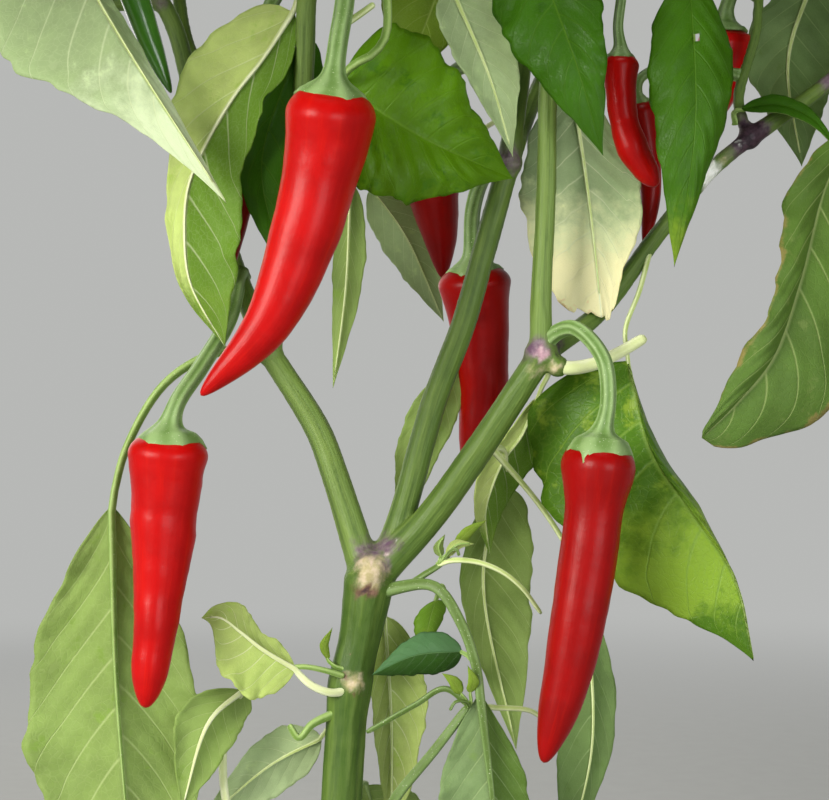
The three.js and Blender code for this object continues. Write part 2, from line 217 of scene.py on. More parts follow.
def corners(piece):
    """The places of a piece's vertices."""
    places = np.zeros(len(piece.data.vertices) * 3, np.float32)
    piece.data.vertices.foreach_get("co", places)
    return places.reshape(-1, 3).astype(float)


def triangles(piece):
    """How many triangles a piece has."""
    return sum(len(face.vertices) - 2 for face in piece.data.polygons)


def hand_in(piece, nodes=()):
    """The piece rides on the plant's one body and stands for its nodes, which it hides."""
    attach(piece, "root")
    if nodes:
        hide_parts(*nodes)
    return piece

# %% [markdown]
# ## Shader helpers
# Materials are node graphs. Small helpers keep them short: they add a node and fill its inputs with numbers
# or links, do a sum, turn a number into a soft mask, mix two colours, and feed the finished colour,
# roughness and relief to the shader.

# %% Shader helpers
def fill_inputs(tree, node, inputs):
    """Gives a node its inputs, each a number to set or a socket to link."""
    for socket, value in inputs.items():
        if isinstance(value, bpy.types.NodeSocket):
            tree.links.new(value, node.inputs[socket])
        else:
            node.inputs[socket].default_value = value
    return node


def add_node(tree, kind, inputs=None, **settings):
    """A new node with its settings, and its inputs given as numbers or as sockets to link."""
    made = tree.nodes.new(kind)
    for setting, value in settings.items():
        setattr(made, setting, value)
    return fill_inputs(tree, made, inputs or {})


def sums(tree, operation, *values):
    """The result of a Math node."""
    return add_node(tree, "ShaderNodeMath", dict(enumerate(values)), operation=operation).outputs[0]


def times(tree, first, second):
    """The product of two values."""
    return sums(tree, "MULTIPLY", first, second)


def scaled(tree, value, factor, offset):
    """A value times a factor, plus an offset."""
    return sums(tree, "MULTIPLY_ADD", value, factor, offset)


def coordinates(tree):
    """The surface's own coordinates, such as its place on the piece and its UV map."""
    return add_node(tree, "ShaderNodeTexCoord").outputs


def mask(tree, value, low, high):
    """0 where value is low, 1 where it is high, and soft between. low may be the larger."""
    inputs = {"Value": value, "From Min": low, "From Max": high}
    return add_node(tree, "ShaderNodeMapRange", inputs, interpolation_type="SMOOTHSTEP").outputs["Result"]


def blend_colour(tree, share, first, second, how="MIX"):
    """A mix of two colours, where each is a socket or three numbers."""
    made = add_node(tree, "ShaderNodeMix", data_type="RGBA", blend_type=how)
    colours = [c if isinstance(c, bpy.types.NodeSocket) else (*c, 1.0) for c in (first, second)]
    return fill_inputs(tree, made, {0: share, 6: colours[0], 7: colours[1]}).outputs[2]


def noise(tree, vector, scale, detail=3.0, roughness=0.55):
    """A noise texture's value."""
    inputs = {"Vector": vector, "Scale": scale, "Detail": detail, "Roughness": roughness}
    return add_node(tree, "ShaderNodeTexNoise", inputs).outputs["Fac"]


def stretched(tree, vector, scale):
    """A vector scaled along its axes."""
    return add_node(tree, "ShaderNodeMapping", {"Vector": vector, "Scale": scale}).outputs["Vector"]


def new_group(name, inputs, outputs):
    """An empty shader node group: inputs as (name, kind, value), outputs as (name, kind)."""
    tree = bpy.data.node_groups.new(name, "ShaderNodeTree")
    for label, kind, value in inputs:
        socket = tree.interface.new_socket(name=label, in_out="INPUT", socket_type="NodeSocket" + kind)
        if value is not None:
            socket.default_value = value
    for label, kind in outputs:
        tree.interface.new_socket(name=label, in_out="OUTPUT", socket_type="NodeSocket" + kind)
    return tree, tree.nodes.new("NodeGroupInput").outputs, tree.nodes.new("NodeGroupOutput").inputs


def use_group(tree, group, **inputs):
    """A group node with its inputs given by name, with _ for a space."""
    given = {label.replace("_", " "): value for label, value in inputs.items()}
    return add_node(tree, "ShaderNodeGroup", given, node_tree=group).outputs


def new_material(name, specular=0.5, coat=0.0, coat_roughness=0.1):
    """A material with its tree and its Principled shader."""
    material = bpy.data.materials.new(name)
    material.use_nodes = True
    shader = material.node_tree.nodes["Principled BSDF"]
    shader.inputs["Specular IOR Level"].default_value = specular
    shader.inputs["Coat Weight"].default_value = coat
    shader.inputs["Coat Roughness"].default_value = coat_roughness
    return material, material.node_tree, shader


def bump(tree, shader, height, distance, strength=1.0):
    """Feeds the shader's normal from a height, with the relief's depth in metres."""
    made = add_node(tree, "ShaderNodeBump", {"Height": height, "Distance": distance, "Strength": strength})
    tree.links.new(made.outputs["Normal"], shader.inputs["Normal"])


def paint(tree, shader, colour, pores, rough, spread=0.2):
    """Feeds the shader's base colour, and a roughness that varies with the skin's pores."""
    tree.links.new(colour, shader.inputs["Base Color"])
    roughness = scaled(tree, pores, spread, rough - spread / 2)
    tree.links.new(roughness, shader.inputs["Roughness"])


def mix_surface(tree, share, first, second):
    """Makes the material's surface a mix of two shaders."""
    both = add_node(tree, "ShaderNodeMixShader", {0: share, 1: first.outputs[0], 2: second.outputs[0]})
    tree.links.new(both.outputs[0], tree.nodes["Material Output"].inputs["Surface"])


def let_light_through(tree, shader, glow, colour):
    """Mixes a share of translucent light into a thin blade's surface."""
    mix_surface(tree, glow, shader, add_node(tree, "ShaderNodeBsdfTranslucent", {"Color": colour}))

# %% [markdown]
# ## Two effects that many finishes share
# Living skin is never one flat colour: paler and darker clouds drift over it, with fine pores on top. The
# first group gives both. The second group draws a leaf from its own UV map: the midrib, the side veins that
# leave it at a slant and arch to the tip, and the fine net between them. The leaf meshes are puffed up by
# the same sums, so the drawn veins lie in the real furrows.

# %% Shared groups
VEIN_SLANT = 0.19
VEIN_ARCH = 0.06
VEIN_PAIRS = 8
OTHER_SIDE_SHIFT = 0.45
NET_CELLS = (17.0, 36.0, 1.0)


def make_living_skin():
    """Clouds and pores over a vector, whose places are in metres."""
    tree, given, result = new_group(
        "living skin",
        [("Vector", "Vector", None), ("Cloud Scale", "Float", 60.0), ("Pore Scale", "Float", 900.0)],
        [("Clouds", "Float"), ("Pores", "Float")],
    )
    clouds = noise(tree, given["Vector"], given["Cloud Scale"], 4.0, 0.6)
    tree.links.new(mask(tree, clouds, 0.32, 0.68), result["Clouds"])
    tree.links.new(noise(tree, given["Vector"], given["Pore Scale"], 2.0), result["Pores"])
    return tree


def make_leaf_pattern():
    """Midrib, side veins and net of a leaf from its UV map, and a height for its bump."""
    tree, given, result = new_group(
        "leaf pattern",
        [("Vector", "Vector", None), ("Pairs", "Float", 8.0), ("Rib Width", "Float", 0.035)],
        [(label, "Float") for label in ("Rib", "Veins", "Net", "Edge", "Along", "Half", "Height")],
    )
    split = add_node(tree, "ShaderNodeSeparateXYZ", {"Vector": given["Vector"]}).outputs
    across = scaled(tree, split["X"], 2.0, -1.0)
    out = sums(tree, "ABSOLUTE", across)
    slant = times(tree, out, VEIN_SLANT)
    arch = times(tree, times(tree, out, out), VEIN_ARCH)
    along = sums(tree, "SUBTRACT", sums(tree, "SUBTRACT", split["Y"], slant), arch)
    right = times(tree, sums(tree, "GREATER_THAN", across, 0.0), OTHER_SIDE_SHIFT)
    phase = scaled(tree, along, given["Pairs"], right)
    to_vein = sums(tree, "ABSOLUTE", sums(tree, "SUBTRACT", sums(tree, "FRACT", phase), 0.5))
    thinning = scaled(tree, out, 0.05, 0.43)
    veins = mask(tree, to_vein, thinning, 0.5)
    rib = mask(tree, out, given["Rib Width"], 0.0)
    stretch = stretched(tree, given["Vector"], NET_CELLS)
    cells = add_node(
        tree, "ShaderNodeTexVoronoi", {"Vector": stretch, "Scale": 1.6}, feature="DISTANCE_TO_EDGE")
    net = mask(tree, cells.outputs["Distance"], 0.09, 0.0)
    height = scaled(tree, net, -0.3, times(tree, veins, -0.8))
    height = sums(tree, "SUBTRACT", height, rib)
    for label, value in (("Rib", rib), ("Veins", veins), ("Net", net), ("Height", height)):
        tree.links.new(value, result[label])
    tree.links.new(mask(tree, out, 0.7, 1.0), result["Edge"])
    tree.links.new(split["Y"], result["Along"])
    tree.links.new(mask(tree, across, -0.04, 0.06), result["Half"])
    return tree


living_skin = make_living_skin()
leaf_pattern = make_leaf_pattern()
print("shared groups:", living_skin.name, "and", leaf_pattern.name)

# %% [markdown]
# ## Stem and boughs: the lines
# The main stem rises with a slight lean from its flare and forks into three boughs, and each bough forks
# again. Every limb here is its middle line, and its radius at each end, in millimetres. A limb swells where
# it leaves a fork and again at its next node.

# %% Limb lines
FOOT_RADIUS = 11.5
FLARE_HEIGHT = 45.0
STEM_RADIUS_LOW = 7.4
STEM_RADIUS_HIGH = 6.2
FORK = (7.5, 0, 239)
STEM_NODE = (1.5, 0, 207)
NODE_LEFT = (-25, 14, 312)
NODE_MIDDLE = (51, -2, 370)
NODE_RIGHT = (60.5, -12, 310)
NODE_FAR_RIGHT = (130, 22, 381)
STEM_LINE = [
    (0, 0, -8), (0, 0, 10), (-3, 1, 80), (-2.5, 0, 140), (-1.2, 0, 172), STEM_NODE, (5, 0, 224), FORK,
]
STEM_STEPS = 130
FORK_SWELLING = 1.6
FORK_SWELLING_REACH = 13.0
NODE_SWELLING = 0.8
NODE_SWELLING_REACH = 7.0
LIMB_STEP = 2 * MM
LIMB_FLARE = 0.22
LIMB_FLARE_LENGTH = 9 * MM

BOUGHS = {
    "bough_left": ([FORK, (-3.5, 6, 273), (-9, 9, 287), NODE_LEFT], 4.8, 3.8),
    "bough_left_inner": (
        [NODE_LEFT, (-18, 16, 347), (-13.5, 6, 394), (-12, 0, 421), (-10, -8, 447), (0, -6, 510)], 3.6, 3.0),
    "bough_left_outer": (
        [NODE_LEFT, (-39, 30, 345), (-51, 45, 390), (-64, 50, 431), (-95, 40, 455), (-130, 20, 470)],
        3.5, 2.8),
    "bough_middle": (
        [FORK, (15, 3, 252), (28, 2, 296), (37, 0, 320), (43.5, 0, 343), NODE_MIDDLE], 4.4, 3.7),
    "bough_middle_upper": ([NODE_MIDDLE, (56, 10, 404), (59, 20, 445), (50, 24, 515)], 3.3, 2.8),
    "bough_right": ([FORK, (26, -4, 259), (42, -8, 281.5), NODE_RIGHT], 5.0, 4.2),
    "bough_right_upright": (
        [NODE_RIGHT, (60.5, -13, 327), (62, -12, 357.5), (63, -8, 395), (64.5, -4, 420), (68, -10, 446),
         (84, -60, 466), (98, -100, 474)], 3.3, 2.5),
    "bough_right_outer": (
        [NODE_RIGHT, (80, 4, 324), (98.5, 12, 348), (117, 18, 370), NODE_FAR_RIGHT], 3.2, 2.6),
    "bough_far_right": ([NODE_FAR_RIGHT, (157.5, 30, 400.5), (176, 32, 418), (188, 26, 455)], 2.8, 2.4),
    "bough_right_twig": (
        [NODE_FAR_RIGHT, (127, 25, 393), (133.5, 30, 416), (137, 34, 440), (152, 24, 468)], 1.9, 1.7),
    "bough_back_left": ([(-17, 16, 350), (-36, 50, 388), (-60, 90, 425), (-68, 122, 490)], 2.9, 2.4),
    "bough_back_right": ([NODE_MIDDLE, (64, 34, 402), (85, 72, 442), (103, 122, 486)], 3.0, 2.5),
    "bough_front_left": ([(-11, -2, 427), (-22, -34, 444), (-45, -82, 458), (-62, -118, 464)], 2.9, 2.4),
    "bough_low_left": ([(-64, 50, 431), (-105, 55, 428), (-142, 44, 405), (-160, 26, 378)], 2.7, 2.2),
    "bough_low_right": ([(157.5, 30, 400.5), (186, 38, 402), (207, 34, 388), (214, 26, 372)], 2.7, 2.2),
}
KNUCKLES = {STEM_NODE: 7.3, FORK: 8.4, NODE_LEFT: 4.9, NODE_MIDDLE: 4.7, NODE_RIGHT: 5.6, NODE_FAR_RIGHT: 4.0}
BUMPS = [((3.2, -4.6, 207.5), 3.1), ((65.5, -13.5, 306.5), 3.6), ((8.5, -3.8, 243.5), 6.0)]


def stem_radius(height):
    """The main stem's radius in millimetres at a height in millimetres."""
    rise = np.clip(height / FORK[2], 0, 1)
    flare = np.clip(1 - height / FLARE_HEIGHT, 0, 1) ** 2
    round_foot = STEM_RADIUS_LOW + (STEM_RADIUS_HIGH - STEM_RADIUS_LOW) * rise
    near_fork = hump(height, FORK_SWELLING, FORK[2], FORK_SWELLING_REACH)
    near_node = hump(height, NODE_SWELLING, STEM_NODE[2], NODE_SWELLING_REACH)
    return round_foot + (FOOT_RADIUS - STEM_RADIUS_LOW) * flare + near_fork + near_node


def limb_radius(gone, first, last):
    """A limb's radius: an even taper, with a flare out of its fork."""
    share = gone / gone[-1]
    return first + (last - first) * share + LIMB_FLARE * first * np.exp(-gone / LIMB_FLARE_LENGTH)


limbs = {"main_stem": smooth_line(np.array(STEM_LINE) * MM, STEM_STEPS)}
radii = {"main_stem": stem_radius(limbs["main_stem"][:, 2] / MM) * MM}
for limb, (points, first, last) in BOUGHS.items():
    length = distances(smooth_line(np.array(points) * MM, 60))[-1]
    limbs[limb] = smooth_line(np.array(points) * MM, int(length / LIMB_STEP) + 2)
    radii[limb] = limb_radius(distances(limbs[limb]), first, last) * MM
print("limbs:", len(limbs), "total metres:", round(sum(distances(line)[-1] for line in limbs.values()), 2))

# %% [markdown]
# ## Stem and boughs: one living skin
# On the real plant a fork has no joint line: the skin of one limb runs into the next in a smooth web. So
# plain tubes are joined and remeshed into one skin, which is smoothed and cut flat at the ground. Then each
# vertex finds the limb it belongs to, and from its angle round that limb and its distance along it comes
# the relief: five low ridges with furrows between them, and small swellings.

# %% Skin of stem and boughs
SKIN_STEP = 0.88 * MM
SMOOTH_ROUNDS = 7
TUBE_SIDES = 16
SEARCH_BATCH = 4000
RIDGES = 5
RIDGE_DEPTH = 0.4 * MM
RIDGE_TWIST = 9.0
ROUND_RIDGE = 0.7
FINE_RIDGES = 13
FINE_DEPTH = 0.1 * MM
WEB_REACH = 11 * MM
WEB_ROUNDS = 14
TINT_ROUNDS = 40
OTHER_TINT = 0.6
KNUCKLE_SHARE = 0.96
LIMB_TINTS = {
    "main_stem": 0.0, "bough_left": 0.85, "bough_middle": 0.35, "bough_right": 0.35,
    "bough_right_upright": 1.0, "bough_left_inner": 0.95, "bough_right_outer": 0.5,
}
FORKS = [STEM_NODE, *dict.fromkeys(points[0] for points, _, _ in BOUGHS.values())]


def knuckle(place, radius):
    """An uneven swelling at a node."""
    bpy.ops.mesh.primitive_ico_sphere_add(subdivisions=4, radius=radius * MM, location=np.array(place) * MM)
    ball = bpy.context.object
    bpy.ops.object.transform_apply(location=True, rotation=False, scale=False)
    return ball


tubes = [grid_piece(limb, ring_places(limbs[limb], radii[limb], TUBE_SIDES), True) for limb in limbs]
tubes += [knuckle(place, radius * KNUCKLE_SHARE) for place, radius in [*KNUCKLES.items(), *BUMPS]]
plant_skin = join("stem_and_boughs", tubes)
apply_modifier(plant_skin, "REMESH", mode="VOXEL", voxel_size=SKIN_STEP)
apply_modifier(plant_skin, "SMOOTH", factor=0.5, iterations=SMOOTH_ROUNDS)
bpy.ops.object.mode_set(mode="EDIT")
bpy.ops.mesh.select_all(action="SELECT")
bpy.ops.mesh.bisect(plane_co=(0, 0, 0), plane_no=(0, 0, 1), clear_inner=True, use_fill=True)
bpy.ops.object.mode_set(mode="OBJECT")
bpy.ops.object.shade_smooth()


def nearest_on_limbs(places):
    """For each place: distance along its limb, its angle round it as cosine and sine, radius, tint."""
    lines = list(limbs.values())
    tints = [np.full(len(line), LIMB_TINTS.get(limb, OTHER_TINT)) for limb, line in limbs.items()]
    tints = np.concatenate(tints)
    middle = np.vstack(lines)
    _, side, up = [np.vstack(parts) for parts in zip(*(side_vectors(line) for line in lines))]
    gone = np.concatenate([distances(line) for line in lines])
    thick = np.concatenate(list(radii.values()))
    found = np.zeros(len(places), int)
    for start in range(0, len(places), SEARCH_BATCH):
        part = places[start:start + SEARCH_BATCH]
        squares = (part ** 2).sum(1)[:, None] + (middle ** 2).sum(1)[None] - 2 * part @ middle.T
        found[start:start + SEARCH_BATCH] = (squares - thick[None] ** 2).argmin(1)
    out = places - middle[found]
    cosine = (out * side[found]).sum(1)
    sine = (out * up[found]).sum(1)
    size = np.maximum(np.hypot(cosine, sine), 1e-9)
    return gone[found], cosine / size, sine / size, thick[found], tints[found]


def evened(piece, values, amount, rounds):
    """Values of the vertices, blended with those of their neighbours where amount is 1."""
    ends = np.zeros(len(piece.data.edges) * 2, np.int64)
    piece.data.edges.foreach_get("vertices", ends)
    first, second = ends.reshape(-1, 2).T
    count = len(values)
    share = np.maximum(np.bincount(first, minlength=count) + np.bincount(second, minlength=count), 1)
    for _ in range(rounds):
        total = np.bincount(first, values[second], count) + np.bincount(second, values[first], count)
        values = values + amount * (total / share - values)
    return values


places = corners(plant_skin)
normals = np.zeros(len(places) * 3, np.float32)
plant_skin.data.vertices.foreach_get("normal", normals)
normals = normals.reshape(-1, 3)
gone, cosine, sine, thick, tint = nearest_on_limbs(places)
angle = np.arctan2(sine, cosine)
ridge = np.abs(np.cos(angle * RIDGES / 2 + gone * RIDGE_TWIST)) ** ROUND_RIDGE
to_fork = np.min([np.linalg.norm(places - np.array(spot) * MM, axis=1) for spot in FORKS], axis=0)
near_fork = np.exp(-(to_fork / WEB_REACH) ** 4)
ridge, cosine, sine, gone = [
    evened(plant_skin, values, near_fork, WEB_ROUNDS) for values in (ridge, cosine, sine, gone)]
tint = evened(plant_skin, tint, near_fork, TINT_ROUNDS)
fine = np.cos(angle * FINE_RIDGES + waves(gone * 40, 3)) * 0.5 + waves(gone * 160 + angle * 2, 5) * 0.35
relief = RIDGE_DEPTH * (ridge - 0.7) * np.clip(thick / (5 * MM), 0.4, 1.3) + FINE_DEPTH * fine
above_ground = np.clip(places[:, 2] / (3 * MM), 0, 1)
places += normals * (relief * above_ground)[:, None]
places[:, 2] = np.maximum(places[:, 2], 0)
put_vertices(plant_skin, places)
print("stem and boughs:", triangles(plant_skin), "triangles")

# %% [markdown]
# ## Marks on the stem
# The photo shows where the plant has healed and coloured: a tan scar with a brown spot on the fork, violet
# round the nodes, almost black on the far right one, and yellow-green swellings where leaf stalks leave.
# The foot of an old chilli stem turns to pale brown cork. Each mark is a soft patch round a place, stored
# as an attribute of the vertices, so that the material can paint it.

# %% Marks
MARKS = {
    "violet": [
        ((58.2, -17, 312.0), (5.8, 6, 4.2), 1.0), ((51, -5, 371), (6, 7, 6), 0.75),
        ((10.4, -7, 251.5), (6.0, 9, 4.4), 1.1), ((5.2, -8, 249.5), (3.4, 8, 5.0), 1.0),
        ((13.0, -9, 246.0), (2.6, 6, 4.0), 0.8), ((130, 18, 381), (8.0, 8, 8.5), 1.3),
        ((-25, 8, 312), (4, 6, 5), 0.35), ((66, -14, 316), (3, 6, 4), 0.8),
        ((157, 26, 401), (5, 6, 5), 0.9), ((-64, 46, 431), (5, 6, 5), 0.6), ((-11, -6, 427), (5, 6, 5), 0.6),
    ],
    "tan": [
        ((8.0, -9, 243.0), (5.2, 6, 6.2), 1.0), ((11.2, -9, 249.2), (2.0, 4, 3.2), 0.6),
        ((3.0, -8, 209.0), (3.6, 5, 3.4), 0.8), ((121, 14, 374), (3, 5, 4), 0.6),
        ((60.5, -17.5, 304.6), (5.5, 5, 2.6), 0.6), ((64.5, -16, 306.5), (3, 4, 2), 0.7),
    ],
    "brown": [
        ((6.2, -9, 237.2), (4.6, 5, 2.2), 1.0), ((4.5, -8, 204.5), (3.0, 5, 0.8), 0.6),
        ((63.5, -17, 301.5), (3.2, 5, 0.7), 0.5), ((2.2, -8, 217.6), (1.1, 4, 0.6), 0.9),
        ((0.4, -8, 210.4), (1.4, 4, 1.2), 0.8),
    ],
    "dark": [
        ((5.4, -8, 251.0), (2.4, 5, 2.6), 0.8), ((6.4, -9, 236.9), (2.2, 5, 1.3), 0.8),
        ((130.5, 18, 381), (7.0, 8, 7.0), 1.25), ((54.0, -12, 311.5), (1.6, 6, 4.0), 0.9),
        ((66.5, -15, 312.5), (1.6, 6, 4.2), 0.8), ((17.5, -8, 251.5), (1.5, 4, 2.5), 0.6),
    ],
    "pink": [
        ((13.0, -10, 248.8), (2.4, 4, 1.2), 0.9), ((60.4, -18, 310.6), (3.4, 5, 2.6), 0.75),
        ((8.6, -10, 246.4), (1.4, 4, 3.4), 0.5),
    ],
    "white": [
        ((116.5, 12, 368.0), (3.6, 8, 5.2), 1.6), ((126.5, 15, 379.3), (1.5, 5, 1.2), 1.0),
        ((8.8, -8, 254.4), (1.0, 4, 0.7), 0.9), ((11.6, -8, 254.0), (0.8, 4, 1.3), 0.8),
        ((15.4, -8, 253.4), (0.8, 4, 0.6), 0.8),
    ],
}
WANDER = 1.1
CORK_HEIGHT = 0.11


def store(piece, label, values, kind="FLOAT"):
    """Keeps a number or vector for each vertex under a label that a material can read."""
    layer = piece.data.attributes.new(label, kind, "POINT")
    key = "vector" if kind == "FLOAT_VECTOR" else "value"
    layer.data.foreach_set(key, np.asarray(values, np.float32).ravel())


across = (places / MM) @ np.array([[1.3, 0.5, -0.4], [0.3, 1.1, 0.6], [-0.6, 0.4, 1.2]])
wander = WANDER * np.stack([waves(across[:, k], 20 + k) for k in (1, 2, 0)], axis=1)
for label, spots in MARKS.items():
    amount = np.zeros(len(places))
    for middle, reach, strength in spots:
        off = (places / MM + wander - np.array(middle)) / np.array(reach)
        amount = np.maximum(amount, strength * np.exp(-(off ** 2).sum(1)))
    store(plant_skin, label, amount)
store(plant_skin, "cork", np.clip(1 - places[:, 2] / CORK_HEIGHT, 0, 1) ** 1.2)
store(plant_skin, "ridge", ridge)
store(plant_skin, "tint", tint)
store(plant_skin, "around", np.stack([cosine * 0.9, sine * 0.9, gone * 14], 1), "FLOAT_VECTOR")
print("marks:", {label: len(spots) for label, spots in MARKS.items()})

# %% [markdown]
# ## The finish of stem and boughs
# The skin is a soft grey-green on its ridges and a deeper, yellower green in its furrows, with thin streaks
# that run along the limb. The streaks come from noise over the limb's own angle and distance, so they turn
# with every bend. The stored marks are laid over it.

# %% Material of stem and boughs
OLD_GREEN = (0.036, 0.084, 0.004)
YOUNG_GREEN = (0.15, 0.235, 0.05)
FURROW_GREEN = (0.03, 0.07, 0.006)
STREAK_GREEN = (0.18, 0.265, 0.045)
CLOUD_GREEN = (0.145, 0.225, 0.04)
CORK = (0.3, 0.235, 0.15)
CRACK = (0.085, 0.05, 0.03)
MARK_COLOURS = {
    "violet": ((0.115, 0.062, 0.105), (0.2, 0.145, 0.17)),
    "tan": ((0.57, 0.47, 0.32), (0.42, 0.36, 0.18)),
    "brown": ((0.11, 0.055, 0.03), (0.21, 0.115, 0.075)),
    "dark": ((0.024, 0.012, 0.02), (0.06, 0.03, 0.045)),
    "pink": ((0.52, 0.31, 0.36), (0.66, 0.5, 0.5)),
    "white": ((0.82, 0.82, 0.8), (0.7, 0.72, 0.66)),
}


def read(tree, label, output="Fac"):
    """An attribute of the piece."""
    return add_node(tree, "ShaderNodeAttribute", attribute_name=label).outputs[output]


def make_limb_skin():
    """Ribbed green skin with streaks, marks and a corky foot."""
    material, tree, shader = new_material("limb skin", specular=0.3)
    along = read(tree, "around", "Vector")
    place = coordinates(tree)["Object"]
    skin = use_group(tree, living_skin, Vector=place, Cloud_Scale=90.0, Pore_Scale=1400.0)
    streaks = noise(tree, along, 2.4, 3.0, 0.6)
    thin_streaks = noise(tree, along, 7.0, 2.0, 0.5)
    colour = blend_colour(tree, read(tree, "tint"), OLD_GREEN, YOUNG_GREEN)
    furrow = times(tree, mask(tree, read(tree, "ridge"), 0.75, 0.2), 0.6)
    colour = blend_colour(tree, furrow, colour, FURROW_GREEN)
    streak_share = scaled(tree, read(tree, "tint"), 0.3, 0.32)
    light_streak = times(tree, mask(tree, streaks, 0.46, 0.7), streak_share)
    colour = blend_colour(tree, light_streak, colour, STREAK_GREEN)
    darker = times(tree, mask(tree, thin_streaks, 0.48, 0.33), 0.22)
    colour = blend_colour(tree, darker, colour, FURROW_GREEN)
    colour = blend_colour(tree, times(tree, skin["Clouds"], 0.2), colour, CLOUD_GREEN)
    fleck = scaled(tree, skin["Pores"], 0.9, -0.45)
    patchy = scaled(tree, noise(tree, place, 620.0, 5.0, 0.65), 1.5, -0.75)
    cork = mask(tree, sums(tree, "ADD", read(tree, "cork"), times(tree, patchy, 0.8)), 0.25, 0.75)
    colour = blend_colour(tree, cork, colour, CORK)
    cracks = times(tree, mask(tree, thin_streaks, 0.45, 0.36), cork)
    colour = blend_colour(tree, cracks, colour, CRACK)
    for label, (shade, worn_shade) in MARK_COLOURS.items():
        amount = sums(tree, "ADD", read(tree, label), times(tree, patchy, 0.4))
        worn = blend_colour(tree, mask(tree, noise(tree, place, 380.0), 0.4, 0.65), shade, worn_shade)
        colour = blend_colour(tree, mask(tree, amount, 0.14, 0.86), colour, worn)
    tree.links.new(colour, shader.inputs["Base Color"])
    rough = scaled(tree, skin["Pores"], 0.25, 0.38)
    tree.links.new(scaled(tree, cork, 0.25, rough), shader.inputs["Roughness"])
    height = sums(tree, "ADD", times(tree, thin_streaks, 0.9), times(tree, fleck, 0.25))
    bump(tree, shader, height, 0.35 * MM, 0.8)
    return material


limb_skin = make_limb_skin()
plant_skin.data.materials.clear()
plant_skin.data.materials.append(limb_skin)
hand_in(plant_skin, list(limbs))
print("material:", limb_skin.name)

# %% [markdown]
# ## The finish of a leaf
# A chilli leaf has two sides. The upper one is deeper green and a little glossy. The lower one is paler and
# dull, with raised pale veins. Light also passes through the thin blade, so each side mixes the Principled
# shader with a Translucent one. One function makes both sides of every leaf: its colours, its worn patches
# and its gloss are its arguments.

# %% Leaf finishes
BLADE_RELIEF = 0.25 * MM
THROUGH_LIGHT = (1.5, 1.45, 0.7)


def leaf_finish(name, blade, vein, patch, rough=0.5, glow=0.3, patch_share=0.2, vein_share=0.7,
                net_share=0.2, edge=None, tip=None, half=None, rib=0.045):
    """A leaf side: its blade, vein and patch colours, and those of its edge, tip and right half if given."""
    material, tree, shader = new_material(name, specular=0.2)
    spots = coordinates(tree)
    drawn = use_group(tree, leaf_pattern, Vector=spots["UV"], Pairs=VEIN_PAIRS, Rib_Width=rib)
    skin = use_group(tree, living_skin, Vector=spots["Object"], Cloud_Scale=55.0, Pore_Scale=1500.0)
    darker = tuple(0.78 * part for part in blade)
    colour = blend_colour(tree, skin["Clouds"], darker, blade)
    blotches = noise(tree, spots["Object"], 120.0, 4.0, 0.65)
    worn = mask(tree, blotches, 0.78 - patch_share, 0.92 - patch_share)
    colour = blend_colour(tree, worn, colour, patch)
    # The half colour is painted light on the right half of a folded leaf: painted shade on most finishes, a
    # painted sky reflection on one.
    if half:
        colour = blend_colour(tree, drawn["Half"], colour, half)
    if tip:
        reached = sums(tree, "ADD", drawn["Along"], scaled(tree, blotches, 0.5, -0.25))
        for shade, low, high in tip:
            colour = blend_colour(tree, mask(tree, reached, low, high), colour, shade)
    if edge:
        ragged = scaled(tree, blotches, 2.4, -1.2)
        rim = mask(tree, sums(tree, "ADD", drawn["Edge"], ragged), 0.75, 1.25)
        colour = blend_colour(tree, rim, colour, edge)
    colour = blend_colour(tree, times(tree, drawn["Net"], net_share), colour, vein)
    colour = blend_colour(tree, times(tree, drawn["Veins"], vein_share), colour, vein)
    colour = blend_colour(tree, drawn["Rib"], colour, vein)
    paint(tree, shader, colour, skin["Pores"], rough)
    height = scaled(tree, skin["Pores"], 0.35, drawn["Height"])
    bump(tree, shader, height, BLADE_RELIEF, 0.7)
    let_light_through(tree, shader, glow, blend_colour(tree, 1.0, colour, THROUGH_LIGHT, "MULTIPLY"))
    return material


